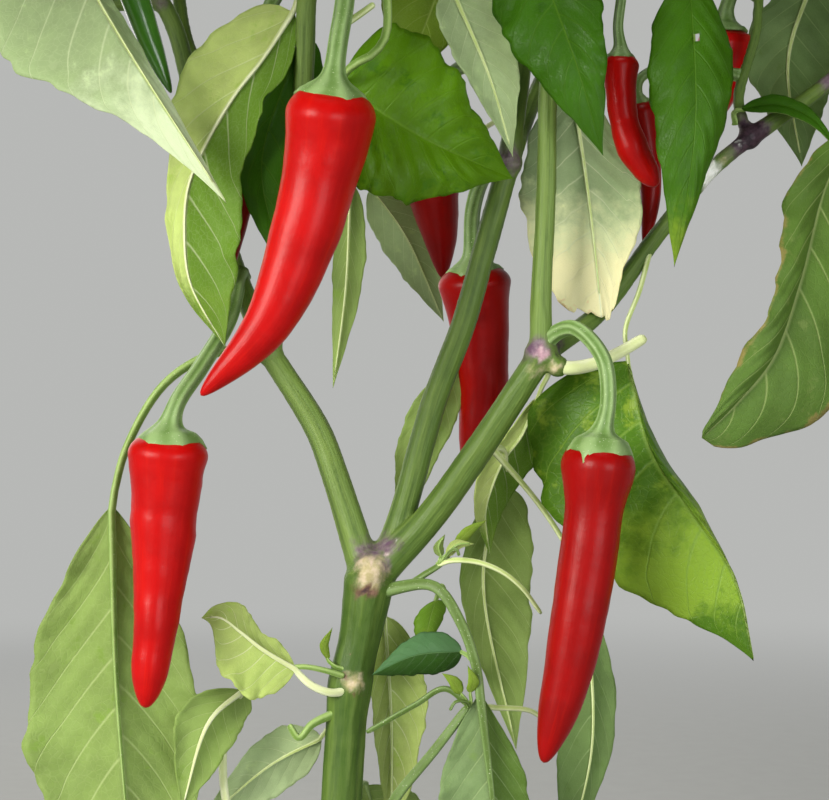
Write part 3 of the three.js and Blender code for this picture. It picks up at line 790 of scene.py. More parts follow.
LEAF_COLOURS = {
    # A dark green for a leaf's upper side, darkened further as painted shade for leaves that hang in shade.
    "deep_shaded": dict(blade=(0.048, 0.165, 0.003), vein=(0.085, 0.205, 0.01), patch=(0.032, 0.115, 0.003),
                 rough=0.4, glow=0.25, vein_share=0.45, net_share=0.12, rib=0.03),
    "glossy": dict(blade=(0.054, 0.17, 0.003), vein=(0.082, 0.205, 0.01), patch=(0.042, 0.135, 0.003),
                   rough=0.42, glow=0.25, vein_share=0.4, net_share=0.12, rib=0.03,
                   tip=[((0.2, 0.33, 0.02), 0.72, 0.98)]),
    "sunny": dict(blade=(0.115, 0.27, 0.003), vein=(0.15, 0.31, 0.015), patch=(0.065, 0.185, 0.003),
                  rough=0.42, vein_share=0.35, net_share=0.1, patch_share=0.24, rib=0.03),
    "fresh": dict(blade=(0.125, 0.255, 0.014), vein=(0.22, 0.35, 0.06), patch=(0.17, 0.28, 0.02),
                  rough=0.42),
    "bright": dict(blade=(0.27, 0.42, 0.04), vein=(0.42, 0.54, 0.12), patch=(0.2, 0.35, 0.03),
                   rough=0.45),
    "mottled": dict(blade=(0.085, 0.205, 0.01), vein=(0.21, 0.35, 0.05), patch=(0.23, 0.35, 0.03),
                    rough=0.38, patch_share=0.25,
                    tip=[((0.25, 0.4, 0.035), 0.36, 0.62), ((0.07, 0.17, 0.006), 0.74, 0.9)]),
    "olive": dict(blade=(0.125, 0.23, 0.038), vein=(0.33, 0.42, 0.15), patch=(0.17, 0.25, 0.06),
                  net_share=0.06, edge=(0.3, 0.25, 0.08)),
    "pale": dict(blade=(0.5, 0.635, 0.33), vein=(0.76, 0.84, 0.54), patch=(0.56, 0.69, 0.35),
                 rough=0.6, net_share=0.1, vein_share=0.45),
    "lit": dict(blade=(0.43, 0.56, 0.27), vein=(0.78, 0.86, 0.56), patch=(0.5, 0.64, 0.31),
                rough=0.6, net_share=0.1, vein_share=0.45, tip=[((0.74, 0.85, 0.56), 0.4, 0.74)]),
    "dull": dict(blade=(0.165, 0.265, 0.08), vein=(0.29, 0.4, 0.17), patch=(0.13, 0.22, 0.055),
                 rough=0.6, net_share=0.1),
    # A grey-green leaf whose right half is painted shade, a darker green where the leaf turns away from the
    # light.
    "shaded_half": dict(blade=(0.25, 0.37, 0.15), vein=(0.38, 0.5, 0.23), patch=(0.2, 0.31, 0.095),
                     rough=0.6, net_share=0.1, half=(0.115, 0.205, 0.035)),
    "soft": dict(blade=(0.31, 0.44, 0.115), vein=(0.5, 0.61, 0.25), patch=(0.25, 0.39, 0.07),
                 rough=0.6, net_share=0.12),
    "yellow": dict(blade=(0.54, 0.67, 0.19), vein=(0.88, 0.92, 0.62), patch=(0.4, 0.56, 0.09),
                   rough=0.55, net_share=0.1),
    # A pale yellow-green underside whose darker right half and tip are painted shade where the leaf folds and
    # curls.
    "folded": dict(blade=(0.6, 0.72, 0.23), vein=(0.9, 0.93, 0.66), patch=(0.44, 0.6, 0.11),
                   rough=0.55, net_share=0.06, vein_share=0.35, half=(0.15, 0.29, 0.025),
                   tip=[((0.18, 0.32, 0.028), 0.72, 0.95)]),
    "grey": dict(blade=(0.24, 0.36, 0.14), vein=(0.37, 0.49, 0.22), patch=(0.2, 0.31, 0.095),
                 rough=0.6, net_share=0.1),
    "dry": dict(blade=(0.4, 0.53, 0.27), vein=(0.8, 0.84, 0.58), patch=(0.54, 0.66, 0.37),
                rough=0.62, net_share=0.06, vein_share=0.5,
                tip=[((0.8, 0.84, 0.5), 0.38, 0.68), ((0.96, 0.89, 0.54), 0.62, 0.86),
                     ((0.6, 0.44, 0.2), 0.98, 1.06)]),
    # A dark green that is painted shade, with a blue-green right half that is a painted reflection of the
    # sky.
    "shade_and_sky_sheen": dict(blade=(0.03, 0.095, 0.008), vein=(0.11, 0.23, 0.08), patch=(0.04, 0.12, 0.014),
                   rough=0.4, glow=0.2, vein_share=0.35, net_share=0.1, half=(0.09, 0.21, 0.08)),
}
LEAF_SIDES = {side: leaf_finish("leaf " + side, **colours) for side, colours in LEAF_COLOURS.items()}
print("leaf finishes:", len(LEAF_SIDES))

# %% [markdown]
# ## The finish of stalks
# Leaf stalks and pod stalks are ribbed and waxy, a lighter green than the leaves, with tiny white flecks.
# The UV map of each stalk runs round it and along it, so its ribs follow every curve.

# %% Stalk finishes
STALK_RELIEF = 0.25 * MM
FLECK_COLOUR = (0.75, 0.8, 0.6)


def make_stalk_finish(name, pale, dark, ribs, rough=0.45):
    """A ribbed waxy stalk, pale on its ribs and dark between them."""
    material, tree, shader = new_material(name, specular=0.3)
    spots = coordinates(tree)
    split = add_node(tree, "ShaderNodeSeparateXYZ", {"Vector": spots["UV"]}).outputs
    turn = times(tree, split["X"], 2 * math.pi * ribs)
    rib = scaled(tree, sums(tree, "COSINE", turn), 0.5, 0.5)
    skin = use_group(tree, living_skin, Vector=spots["Object"], Cloud_Scale=140.0, Pore_Scale=1800.0)
    uneven = scaled(tree, skin["Clouds"], 0.4, times(tree, rib, 0.7))
    colour = blend_colour(tree, mask(tree, uneven, 0.1, 0.9), dark, pale)
    flecks = mask(tree, noise(tree, spots["Object"], 2600.0, 1.0), 0.7, 0.76)
    colour = blend_colour(tree, times(tree, flecks, 0.7), colour, FLECK_COLOUR)
    paint(tree, shader, colour, skin["Pores"], rough)
    bump(tree, shader, scaled(tree, skin["Pores"], 0.3, rib), STALK_RELIEF, 0.6)
    return material


STALKS = {
    "green": make_stalk_finish("leaf stalk green", (0.3, 0.43, 0.13), (0.15, 0.26, 0.045), 3),
    "shoot": make_stalk_finish("shoot green", (0.15, 0.235, 0.07), (0.08, 0.14, 0.022), 3),
    "pale": make_stalk_finish("leaf stalk pale", (0.62, 0.7, 0.36), (0.43, 0.54, 0.17), 3),
    "cream": make_stalk_finish("leaf stalk cream", (0.7, 0.74, 0.48), (0.56, 0.62, 0.3), 2),
    "pod": make_stalk_finish("pod stalk green", (0.23, 0.345, 0.13), (0.12, 0.215, 0.05), 6, 0.46),
}
print("stalk finishes:", len(STALKS))

# %% [markdown]
# ## A leaf
# The blade is a grid whose middle column follows the midrib. Its half breadth on each side is a vector, so
# a half can hang, lie flat or fold back. The outline swells quickly from the base and runs out to a long
# tip. Between the side veins the blade puffs up a little, its margin ripples, and Solidify turns it into a
# thin closed blade with an upper and a lower side. The stalk and the raised midrib are one tapering tube
# under it.

# %% Leaf blades
BLADE_THICKNESS = 0.35 * MM
BLADE_ROWS = 72
BLADE_COLUMNS = 26
UNEVEN_BREADTH = 0.05
BREADTH_WAVES = 24
MARGIN_WAVES = (15, 42)
FINE_MARGIN = 0.35
PUFF_POWER = 0.6
PUFF_TO_EDGE = 1.05
FURROW_POWER = 0.7
FULL_RELIEF_BREADTH = 13 * MM
SIDES_APART = (2.3, 1.7)
EVEN_STEPS = 5
STALK_POINTS = 26
MIDRIB_END = 0.96
TORN_MIDRIB_END = 0.84
MIDRIB_TIP = 0.25
MIDRIB_DEPTH = 0.95
MIDRIB_GAP = 0.05
TUBE_RIBS = 3
SPINE_SIDES = 12
SPINE_RIB_DEPTH = 0.06


def blade_share(t, tip_power, base_power=0.62):
    """The half breadth along a leaf, as a share of the widest."""
    widest = base_power / (base_power + tip_power)
    peak = widest ** base_power * (1 - widest) ** tip_power
    return np.clip(t, 0, 1) ** base_power * np.clip(1 - t, 0, 1) ** tip_power / peak


def along_leaf(vectors, t):
    """Half-breadth vectors given at even steps of a leaf, for every share t of its length."""
    rows = read_line(np.array(vectors, float), np.linspace(0, 1, len(vectors)), t)
    ends = [np.repeat(rows[k:k + 1], EVEN_STEPS, axis=0) for k in (0, len(rows) - 1)]
    padded = np.vstack([ends[0], rows, ends[1]])
    return np.mean([padded[k:k + len(rows)] for k in range(2 * EVEN_STEPS + 1)], axis=0)


def turned_to_viewer(normal, middle):
    """Whether a surface with this normal faces the camera."""
    return float(np.dot(normal, np.array(EYE) - middle)) > 0


def torn_off(places, torn):
    """Ends each column of a blade at a torn line, given as (share across, share along)."""
    steps = np.arange(len(places))
    reach = np.interp(np.linspace(0, 1, places.shape[1]), *zip(*torn))
    for column, share in enumerate(reach):
        for k in range(3):
            places[:, column, k] = np.interp(steps * share, steps, places[:, column, k])
    return places


def leaf_blade(name, rib, left, right, shows, powers, seed, ripple, puff, arch, rows, columns, torn):
    """The blade of one leaf, with its upper side on the faces that point up its normal."""
    line = smooth_line(np.array(rib) * MM, rows + 1)
    t = np.linspace(0, 1, rows + 1)[:, None]
    x = np.linspace(-1, 1, columns + 1)[None]
    share = blade_share(t, *powers)
    left_half, right_half = [along_leaf(h, t[:, 0]) * MM for h in (left, right)]
    out = np.where((x < 0)[..., None], left_half[:, None], right_half[:, None]) * np.abs(x)[..., None]
    edge = np.abs(x)
    uneven = waves(t * BREADTH_WAVES + np.where(x > 0, SIDES_APART[0], 0.0), seed + 2)
    uneven = 1 + UNEVEN_BREADTH * uneven * edge ** 2
    places = line[:, None] + out * (share * uneven)[..., None]
    tangent = side_vectors(line)[0]
    normal = unit(np.cross((right_half - left_half), tangent))
    if turned_to_viewer(normal.mean(0), line.mean(0)) != (shows == "upper"):
        places = places[:, ::-1]
        normal = -normal
    right_side = np.where(x > 0, OTHER_SIDE_SHIFT, 0.0)
    phase = (t - VEIN_SLANT * edge - VEIN_ARCH * edge ** 2) * VEIN_PAIRS + right_side
    between = np.sin(math.pi * ((phase + 0.5) % 1.0)) ** FURROW_POWER
    left_breadth, right_breadth = [np.linalg.norm(half, axis=1)[:, None] for half in (left_half, right_half)]
    width = left_breadth + right_breadth
    broad = np.where(x < 0, left_breadth, right_breadth)
    fade = np.minimum(share * 1.6, 1) * np.clip(broad * share / FULL_RELIEF_BREADTH, 0, 1)
    puffed = np.sin(math.pi * np.clip(edge * PUFF_TO_EDGE, 0, 1)) ** PUFF_POWER
    lift = puff * MM * between * puffed * fade
    lift = lift + arch * width * 0.5 * np.sin(math.pi * edge) * share
    side = np.where(x > 0, SIDES_APART[1], 0.0)
    margin, fine = [waves(t * count + side, seed + k) for k, count in enumerate(MARGIN_WAVES)]
    margin = margin * edge ** 2.2 + FINE_MARGIN * fine * edge ** 4
    lift = lift + ripple * MM * margin * fade
    places = places + normal[:, None] * lift[..., None]
    if torn:
        places = torn_off(places, torn)
    return grid_piece(name, places, False), line, normal


def pierce_blade(piece, holes):
    """Takes out the faces of a blade in round holes at (across, along, size)."""
    bpy.ops.object.mode_set(mode="EDIT")
    bpy.ops.mesh.select_mode(type="FACE")
    bpy.ops.mesh.select_all(action="DESELECT")
    bpy.ops.object.mode_set(mode="OBJECT")
    layer = piece.data.uv_layers[0].data
    gone = []
    for face in piece.data.polygons:
        spot = np.mean([layer[k].uv[:] for k in face.loop_indices], axis=0)
        gone.append(any(math.hypot((spot[0] - u), (spot[1] - v) * 3.5) < size for u, v, size in holes))
    piece.data.polygons.foreach_set("select", np.array(gone, bool))
    bpy.ops.object.mode_set(mode="EDIT")
    bpy.ops.mesh.delete(type="FACE")
    bpy.ops.object.mode_set(mode="OBJECT")


def tube_piece(name, line, radius, sides, material, depth):
    """A closed tube along a line, with ribs of a depth that is a share of its radius."""
    angle = np.linspace(0, 2 * math.pi, sides + 1)
    wall = np.asarray(radius)[:, None] * (1 + depth * np.cos(TUBE_RIBS * angle))[None]
    piece = grid_piece(name, ring_places(line, wall, sides), True)
    piece.data.materials.append(material)
    return piece


def build_leaf(name, stalk, rib, left, right, sides, seed, shows="under", finish="green",
               tip_power=1.15, base_power=0.62, ripple=2.0, puff=0.9, arch=0.1, thick=1.45, holes=(),
               torn=None, rows=BLADE_ROWS, columns=BLADE_COLUMNS, rib_share=0.62):
    """One whole leaf: blade, raised midrib and stalk."""
    powers = (tip_power, base_power)
    blade, line, normal = leaf_blade(
        name, rib, left, right, shows, powers, seed, ripple, puff, arch, rows, columns, torn)
    if holes:
        pierce_blade(blade, holes)
    for side in sides:
        blade.data.materials.append(LEAF_SIDES[side])
    apply_modifier(
        blade, "SOLIDIFY", thickness=BLADE_THICKNESS, offset=-1, material_offset=1, material_offset_rim=1)
    handle = smooth_line(np.array(stalk) * MM, STALK_POINTS)
    under = slice(1, int(rows * (TORN_MIDRIB_END if torn else MIDRIB_END)), 2)
    spine = np.vstack([handle[:-1], line[under]])
    gone = distances(spine)
    root = gone[len(handle) - 2]
    reached = [0, 0.1 * root, 0.3 * root, root, root + 0.12 * (gone[-1] - root), gone[-1]]
    sizes = [1.5 * thick, 1.15 * thick, thick, 0.85 * thick, rib_share * thick, MIDRIB_TIP]
    radius = np.interp(gone, reached, sizes)
    depth = MIDRIB_DEPTH * radius[len(handle) - 1:, None] + MIDRIB_GAP
    spine[len(handle) - 1:] -= normal[under] * depth * MM
    tube = tube_piece(name + "_stalk", spine, radius * MM, SPINE_SIDES, STALKS[finish], SPINE_RIB_DEPTH)
    return join(name, [blade, tube])

# %% [markdown]
# ## The large leaves
# Each large leaf that the photo shows has its own line of stalk and midrib, and the reach of its two halves
# between base and tip, in millimetres. Some show their dull pale underside and some their deeper upper side.
# The one with the broken tip ends in a torn dry line, and the glossy one has a small hole.

# %% Large leaves
LEAVES = {
    "leaf_upper_left": dict(
        stalk=[(-88, 43, 451), (-95, 20, 460), (-91, -3, 447)],
        rib=[(-90, -5, 444), (-63, -22, 399), (-34.5, -28, 355)],
        left=[(-38, 5, -26), (-30, 5, -20), (-19.5, 4, -12.5), (-11.5, 3, -7.5), (-10, 3, -6)],
        right=[(3, 11, 2), (3, 8, 2)],
        sides=("fresh", "lit"), finish="pale", seed=11, ripple=1.2, thick=1.15, rib_share=0.55),
    "leaf_folded": dict(
        stalk=[(-12, -1, 424), (-14, 3, 424), (-16, 4, 419)],
        rib=[(-16, 4, 418), (-26.1, 2, 402.2), (-34.3, 0, 391.2), (-43.4, -2, 375.2), (-48.5, -4, 361.9),
             (-49.4, -6, 346.3), (-47.5, -7, 332.2), (-36.6, -8, 312.5)],
        left=[(-18, 8, 20), (-20, 8, 9), (-9, 5, 2), (-8, 3, -1), (-11, 1, -4)],
        right=[(8, -4, -9), (9, -5, -5), (15, -4, -3), (32, -4, 0), (38, -2, 5)],
        sides=("bright", "folded"), finish="cream", seed=12, ripple=2.4, thick=1.15),
    "leaf_behind_pod": dict(
        stalk=[(-10, -8, 446), (2, -16, 448), (10.5, -26, 434), (13.8, -32, 412), (13, -34, 403),
               (9.3, -35, 398), (4, -34, 395.4), (-1, -28, 391.5)],
        rib=[(-1, -26, 390.5), (25, -24, 374.5), (52, -12, 364)],
        left=[(9, 8, 31), (7, 5, 20)], right=[(-8, -6, -26), (-4, -4, -15)],
        shows="upper", sides=("sunny", "soft"), seed=13, puff=1.7),
    "leaf_pale_hanging": dict(
        stalk=[(57, 13, 430), (40, 2, 438), (33.5, -5, 426)],
        rib=[(33, -6, 424), (45, -10, 395), (52, -9, 371)],
        left=[(-10, -6, -1), (-8, -6, 0)], right=[(11, -8, 4), (9, -7, 2)],
        sides=("fresh", "pale"), finish="pale", seed=14, thick=1.2),
    "leaf_top_middle": dict(
        stalk=[(66, -8, 442), (62, -14, 445), (57, -18, 438)],
        rib=[(56.5, -18, 436.5), (69.5, -29, 397.5), (78, -28, 369)],
        left=[(-19, 5, -6), (-12, 4, -5)], right=[(14, -3, 4), (9, -3, 3)],
        shows="upper", sides=("deep_shaded", "soft"), seed=15),
    "leaf_broken_tip": dict(
        stalk=[(63, -8, 391), (67, 0, 399), (71, 5, 395)],
        rib=[(71.5, 6, 394.5), (76.5, 1, 357), (80.5, -4, 315)],
        left=[(-22, 4, -2), (-22, 4, -1), (-21, 3, 0), (-20, 3, 0), (-16, 3, 0)],
        right=[(17, 1, 0), (17, 1, 0), (18, 0, 0), (17, 0, 0), (11, 0, 0), (7, 0, 0), (6, 0, 0)],
        torn=[(0, 0.85), (0.05, 0.885), (0.12, 0.895), (0.2, 0.872), (0.3, 0.9), (0.36, 0.89),
              (0.42, 0.905), (0.5, 0.915), (0.62, 0.905), (0.7, 0.925), (0.86, 0.92), (0.9, 0.875),
              (0.95, 0.885), (1, 0.86)],
        sides=("fresh", "dry"), finish="pale", tip_power=0.55, seed=16, rib_share=0.5,
        ripple=1.6, columns=36),
    "leaf_glossy": dict(
        stalk=[(68, -10, 446), (90, -12, 449), (105, -10, 428)],
        rib=[(106.5, -10, 425), (106.5, -20, 378), (100.5, -18, 336.5)],
        left=[(-15, 2, 0), (-12, 2, 0)],
        right=[(12.5, 4, 0), (13, 4, 0), (10.5, 4, 0), (7.5, 4, 0), (8, 4, 0)],
        shows="upper", sides=("glossy", "soft"), seed=17, holes=[(0.47, 0.21, 0.048)]),
    "leaf_right_edge": dict(
        stalk=[(163, 31, 405), (168, 24, 400), (163, 11, 383)],
        rib=[(162.5, 14, 383), (152.4, 10, 364.5), (141.8, -2, 333), (132.3, -8, 309.2), (121.6, -11, 296.3),
             (109.5, -14, 284.6)],
        left=[(-18, -3, 6), (-13, -4, 4), (-7, -4, 2.5), (-8, -4, 6), (-4, -2, 4)],
        right=[(17, 6, -6), (20, 6, -10), (22, 8, -14), (18, 7, -18), (10, 4, -14)],
        shows="upper", sides=("olive", "soft"), finish="pale", tip_power=0.5, seed=18, ripple=2.4),
    "leaf_curled": dict(
        stalk=[(97, 11, 346), (92.5, 4, 331), (87.5, 0, 318), (88, -2, 310)],
        rib=[(88, -2, 308.5), (94.8, -9, 280), (107.4, -14, 260.2), (119, -16, 241.8), (124.6, -18, 217)],
        left=[(-46, 14, 3), (-36, 14, -7), (-33, 12, -14), (-32, 8, -24), (-50, 6, -2)],
        right=[(1, 9, 1), (3, 8, 2), (4, 8, 2), (1, 7, 1), (1, 6, 1)],
        shows="upper", sides=("mottled", "soft"), finish="pale", seed=19, ripple=2.8, puff=1.8, thick=0.85),
    "leaf_lower_left": dict(
        stalk=[(-26, 13, 312), (-41, 2, 311), (-56, -2, 301.5), (-68, -2, 281.5), (-72.5, -2, 265)],
        rib=[(-72.5, -2, 263.5), (-71.5, 2, 205.5), (-65, -4, 138)],
        left=[(-30, 6, -8), (-30, 6, -6)], right=[(26, 6, -8), (25, 6, -6)],
        sides=("fresh", "soft"), tip_power=0.8, base_power=0.85, seed=20, ripple=2.4, puff=1.4,
        rib_share=0.85),
    "leaf_under_middle": dict(
        stalk=[(42, -8, 281), (50, 8, 280), (50.5, 15, 271)],
        rib=[(49, 16, 269), (43.7, 16, 238.5), (54, 10, 185)],
        left=[(-7, 2, 0), (-8, 2, 0)], right=[(16, 3, 2), (15, 3, 2)],
        sides=("fresh", "soft"), finish="pale", seed=21, thick=1.1),
    "leaf_beside_stem": dict(
        stalk=[(7, 4, 232), (11, 10, 233), (12.5, 12, 229)],
        rib=[(12.5, 12, 227.5), (14.5, 12, 194.5), (14.5, 8, 155)],
        left=[(-7, 3, 0), (-6, 3, 0)], right=[(12, -3, 0), (10, -3, 0)],
        sides=("fresh", "yellow"), finish="pale", seed=22, thick=0.95),
    "leaf_low_middle": dict(
        stalk=[(12, -2, 237), (28, -12, 239), (36, -16, 228), (40, -17, 217), (41.5, -16, 209)],
        rib=[(41.5, -16, 207.5), (45, -18, 178), (49, -22, 138)],
        left=[(-17, 3, -4), (-14, 3, -3)], right=[(13, 3, -3), (11, 3, -3)],
        sides=("fresh", "shaded_half"), finish="shoot", base_power=1.1, seed=23, thick=1.75, rib_share=0.8),
    "leaf_top_right": dict(
        stalk=[(137, 33, 446), (148, 50, 456), (158, 60, 446)],
        rib=[(159, 60, 443), (150, 62, 413), (154, 58, 376)],
        left=[(-16, 0, 0), (-14, 0, 0)], right=[(20, 3, 0), (18, 3, 0)],
        sides=("fresh", "grey"), finish="pale", seed=24),
}

large = [hand_in(build_leaf(leaf + "_blade", **form), [leaf]) for leaf, form in LEAVES.items()]
print("large leaves:", len(large), "with", sum(triangles(piece) for piece in large), "triangles")

# %% [markdown]
# ## The pods
# A pod is widest under its shoulder and tapers in a long curve to a blunt point. Rings round its bent
# middle line give the shape. Shallow lobes and a dip at the shoulder, a few long dents and a slight waist
# keep it from looking turned on a lathe.

# %% Pod shapes
POD_SIDES = 44
POD_ROWS = 74
POD_LINE_POINTS = 400
PODS = {
    "pod_1": (
        [(-2, -49.5, 385.5), (-4, -47.2, 368.5), (-11.5, -48, 339.5), (-21, -50, 317.5), (-39.5, -52, 297.5)],
        13.2, 0.5, 0.032),
    "pod_2": ([(77.5, -27, 283.5), (74, -28, 253), (67.5, -30, 216), (60, -31, 188.5)], 11.2, 0.8, 0.03),
    "pod_3": ([(41, 27, 339.5), (43, 29, 318), (44, 30, 295), (40, 31, 270)], 11.8, 0.75, 0.03),
    "pod_4": ([(-52, -23, 285.5), (-54, -24, 252), (-56, -27, 226), (-58.5, -29, 204.5)], 12.3, 0.82, 0.055),
    "pod_5": ([(26.5, 60, 384), (28, 60, 368), (30.5, 61, 352), (31.5, 61, 338)], 11.0, 0.45, 0.025),
    "pod_6": (
        [(86.2, 2, 404), (86.2, 1, 393), (87.2, 1, 384), (89.4, 0, 376), (93, 0, 369.6), (97.4, 0, 363)],
        6.0, 0.86, 0.03),
    "pod_7": ([(126, 47, 421), (125.5, 47, 410.5), (122, 47, 399), (117, 47, 385)], 10.4, 0.55, 0.02),
    "pod_8": ([(95, 31, 394), (98, 31, 378), (99, 30, 362), (97, 30, 346)], 5.4, 0.6, 0.02),
    "pod_9": ([(-27.5, 15, 408), (-31, 15, 385), (-36, 16, 358), (-40, 18, 331)], 8.7, 0.6, 0.03),
    "pod_unripe": ([(-75, 22, 441), (-69, 22, 427), (-63, 22, 410), (-57, 22, 395.5)], 5.8, 0.6, 0.02),
}
SHOULDER = 0.42
SHOULDER_LENGTH = 0.085
VALLEY = 0.1
VALLEY_LENGTH = 0.09
LOBES = 0.04
LOBE_LENGTH = 0.12
OVAL = 0.012
DENT_WAVES = 9
FINE_DENT_WAVES = 30
FINE_DENTS = 0.35
LONG_DENTS = 0.4
BULGE = (0.04, 0.07, 0.05)
WAIST = (0.05, 0.25, 0.1)
SWELLS = {
    "pod_2": [(0, 1), (0.12, 1.0), (0.2, 0.94), (0.35, 1.0), (0.55, 1.08), (0.8, 1.08), (1, 1)],
    "pod_6": [(0, 0.95), (0.48, 0.98), (0.56, 1.12), (0.68, 1.32), (0.85, 1.34), (1, 1.3)],
    "pod_4": [(0, 1), (0.12, 1.0), (0.25, 1.03), (0.4, 0.94), (0.6, 0.88), (0.8, 0.92), (1, 0.95)],
    "pod_7": [(0, 0.62), (0.06, 0.82), (0.15, 1.02), (0.3, 1.12), (0.55, 1.12), (1, 1.1)],
}


def pod_share(t, point):
    """The radius along a pod as a share of the widest, with its blunt point past the share point."""
    shoulder = SHOULDER + (1 - SHOULDER) * np.sqrt(1 - (1 - np.minimum(1, t / SHOULDER_LENGTH)) ** 2)
    to_point = np.clip((t - point) / (1 - point), 0, 1)
    return shoulder * (1 - 0.5 * t - 0.1 * t ** 2) * np.sqrt(np.clip(1 - to_point ** 2, 0, 1))


def pod_places(points, radius, point, dent, swell, seed):
    """The rings of one pod, finer at its shoulder and its point, with a bulge under its cap."""
    even = np.linspace(0, 1, POD_ROWS)
    t = even - 0.6 * np.sin(2 * math.pi * even) / (2 * math.pi)
    dense = smooth_line(np.array(points) * MM, POD_LINE_POINTS)
    line = read_line(dense, np.linspace(0, 1, POD_LINE_POINTS), t)
    angle = np.linspace(0, 2 * math.pi, POD_SIDES + 1)[None]
    t = t[:, None]
    lobes = LOBES * np.cos(3 * angle + seed) * np.exp(-t / LOBE_LENGTH)
    lobes = lobes + OVAL * np.cos(2 * angle + 2 * seed)
    dents = dent * waves(t * DENT_WAVES + 0.5 * np.cos(angle - seed), seed) * np.sin(math.pi * t) ** 0.5
    fine_dents = waves(t * FINE_DENT_WAVES + np.cos(angle + seed), seed + 5)
    dents += FINE_DENTS * dent * fine_dents * np.sin(math.pi * t) ** 0.5
    long_dents = LONG_DENTS * dent * np.cos(4 * angle + seed + 3 * t) * np.sin(math.pi * t)
    bulge = hump(t, *BULGE) - hump(t, *WAIST)
    swelling = np.interp(t, *zip(*swell))
    wall = radius * MM * pod_share(t, point) * swelling * (1 + lobes + dents + long_dents + bulge)
    places = ring_places(line, wall, POD_SIDES)
    sink = VALLEY * radius * MM * np.sin(angle) ** 2 * np.exp(-t / VALLEY_LENGTH)
    places[1:-1] += side_vectors(line)[0][:, None] * sink[..., None]
    return places

# %% [markdown]
# ## The finish of a pod
# Ripe pods are crimson right through, waxy rather than polished: a broad soft highlight with a faint sharp
# one over it. Slightly darker and more orange clouds, long faint streaks and tiny pits break the colour.

# %% Pod finishes
POD_STREAKS = (26.0, 3.0, 1.0)
POD_RELIEF = 0.25 * MM


def make_pod_finish(name, skin_colour, deep_colour, warm_colour, rough, coat):
    """A waxy pod skin with clouds, streaks and fine pits."""
    material, tree, shader = new_material(name, specular=0.13, coat=coat, coat_roughness=0.2)
    spots = coordinates(tree)
    skin = use_group(tree, living_skin, Vector=spots["Object"], Cloud_Scale=85.0, Pore_Scale=1300.0)
    streaks = noise(tree, stretched(tree, spots["UV"], POD_STREAKS), 1.0, 3.0)
    colour = blend_colour(tree, times(tree, skin["Clouds"], 0.6), skin_colour, deep_colour)
    warm = times(tree, mask(tree, streaks, 0.5, 0.75), 0.5)
    colour = blend_colour(tree, warm, colour, warm_colour)
    paint(tree, shader, colour, skin["Pores"], rough, 0.16)
    height = scaled(tree, streaks, 1.2, times(tree, skin["Pores"], 0.25))
    height = scaled(tree, skin["Clouds"], 1.3, height)
    bump(tree, shader, height, POD_RELIEF, 0.32)
    return material


ripe_skin = make_pod_finish(
    "ripe pod skin", (0.45, 0.002, 0.002), (0.31, 0.001, 0.001), (0.54, 0.007, 0.002), 0.36, 0.045)
# A darker copy of the ripe skin, painted shade for the pods that hang in shade.
shaded_ripe_skin = make_pod_finish(
    "shaded ripe pod skin", (0.28, 0.001, 0.001), (0.19, 0.001, 0.001), (0.35, 0.004, 0.001), 0.36, 0.045)
unripe_skin = make_pod_finish(
    "unripe pod skin", (0.065, 0.21, 0.022), (0.035, 0.14, 0.012), (0.12, 0.29, 0.03), 0.18, 1.0)

POD_FINISHES = {pod: shaded_ripe_skin for pod in ("pod_2", "pod_3", "pod_5", "pod_8", "pod_9")}
POD_FINISHES["pod_unripe"] = unripe_skin
for number, (pod, (points, radius, point, dent)) in enumerate(PODS.items()):
    swell = SWELLS.get(pod, [(0, 1), (1, 1)])
    piece = grid_piece(pod + "_skin", pod_places(points, radius, point, dent, swell, number + 1), True)
    piece.data.materials.append(POD_FINISHES.get(pod, ripe_skin))
    hand_in(piece, [pod])
print("pods:", len(PODS))

# %% [markdown]
# ## Caps and stalks of the pods
# The cap is a thin green cup that hugs the shoulder, with a small point on each rib of its rim. It narrows
# quickly into a ribbed stalk, which thickens again where it joins the bough. Cap and stalk are one tube:
# the first rings spread over the shoulder, and the points stand out on the rim's ring.

# %% Caps and stalks
STALK_LINES = {
    "pod_1": [(-0.5, -48.5, 398), (1.5, -39, 417), (-2, -24, 437), (-10, -9, 446)],
    "pod_2": [(79.5, -28, 296), (78, -26, 309), (70, -20, 318), (63, -13, 315), (60.5, -12, 309)],
    "pod_3": [(40.3, 26, 349), (40.8, 20, 359), (44.5, 11, 368.5), (52, 3, 373)],
    "pod_4": [(-50, -22, 295), (-44, -12, 306), (-37, 8, 322), (-35.5, 26, 337)],
    "pod_5": [(26, 58, 394), (35, 42, 406), (55.5, 9, 402)],
    "pod_6": [(85.5, 2, 413), (86, -1, 428), (78, -6, 440), (67, -8, 441)],
    "pod_7": [(126.5, 46, 428), (129, 41, 434), (134, 33, 431)],
    "pod_8": [(96, 32, 402), (108, 33, 407), (128, 27, 402)],
    "pod_9": [(-26, 14, 418), (-19, 6, 428), (-11, -3, 430)],
    "pod_unripe": [(-77, 25, 449), (-81, 34, 455), (-84, 44, 448)],
}
CAP_POINTS = 6
CAP_SIDES = 48
CUP_STEPS = 18
CAP_STEPS = 46
CAP_HEIGHT = 9 * MM
CAP_START = 0.7 * MM
STALK_LINE_POINTS = 300
CAP_RIM = 0.7
CAP_SPREAD = 0.8
CUP_SHARE = 0.7
CUP_REACH = 1.6
COLLAR_SHARE = 0.3
COLLAR_REACH = 4.6
CAP_RIBS = 0.055
POINT_LENGTH = 0.09
NECK_SHARE = 0.225
THINNEST_NECK = 2.5
SMALL_POD_RADIUS = 7
SMALL_POD_NECK = 1.7
STALK_SHARE = 0.92
FOOT_SWELLING = 0.5
FOOT_LENGTH = 4 * MM
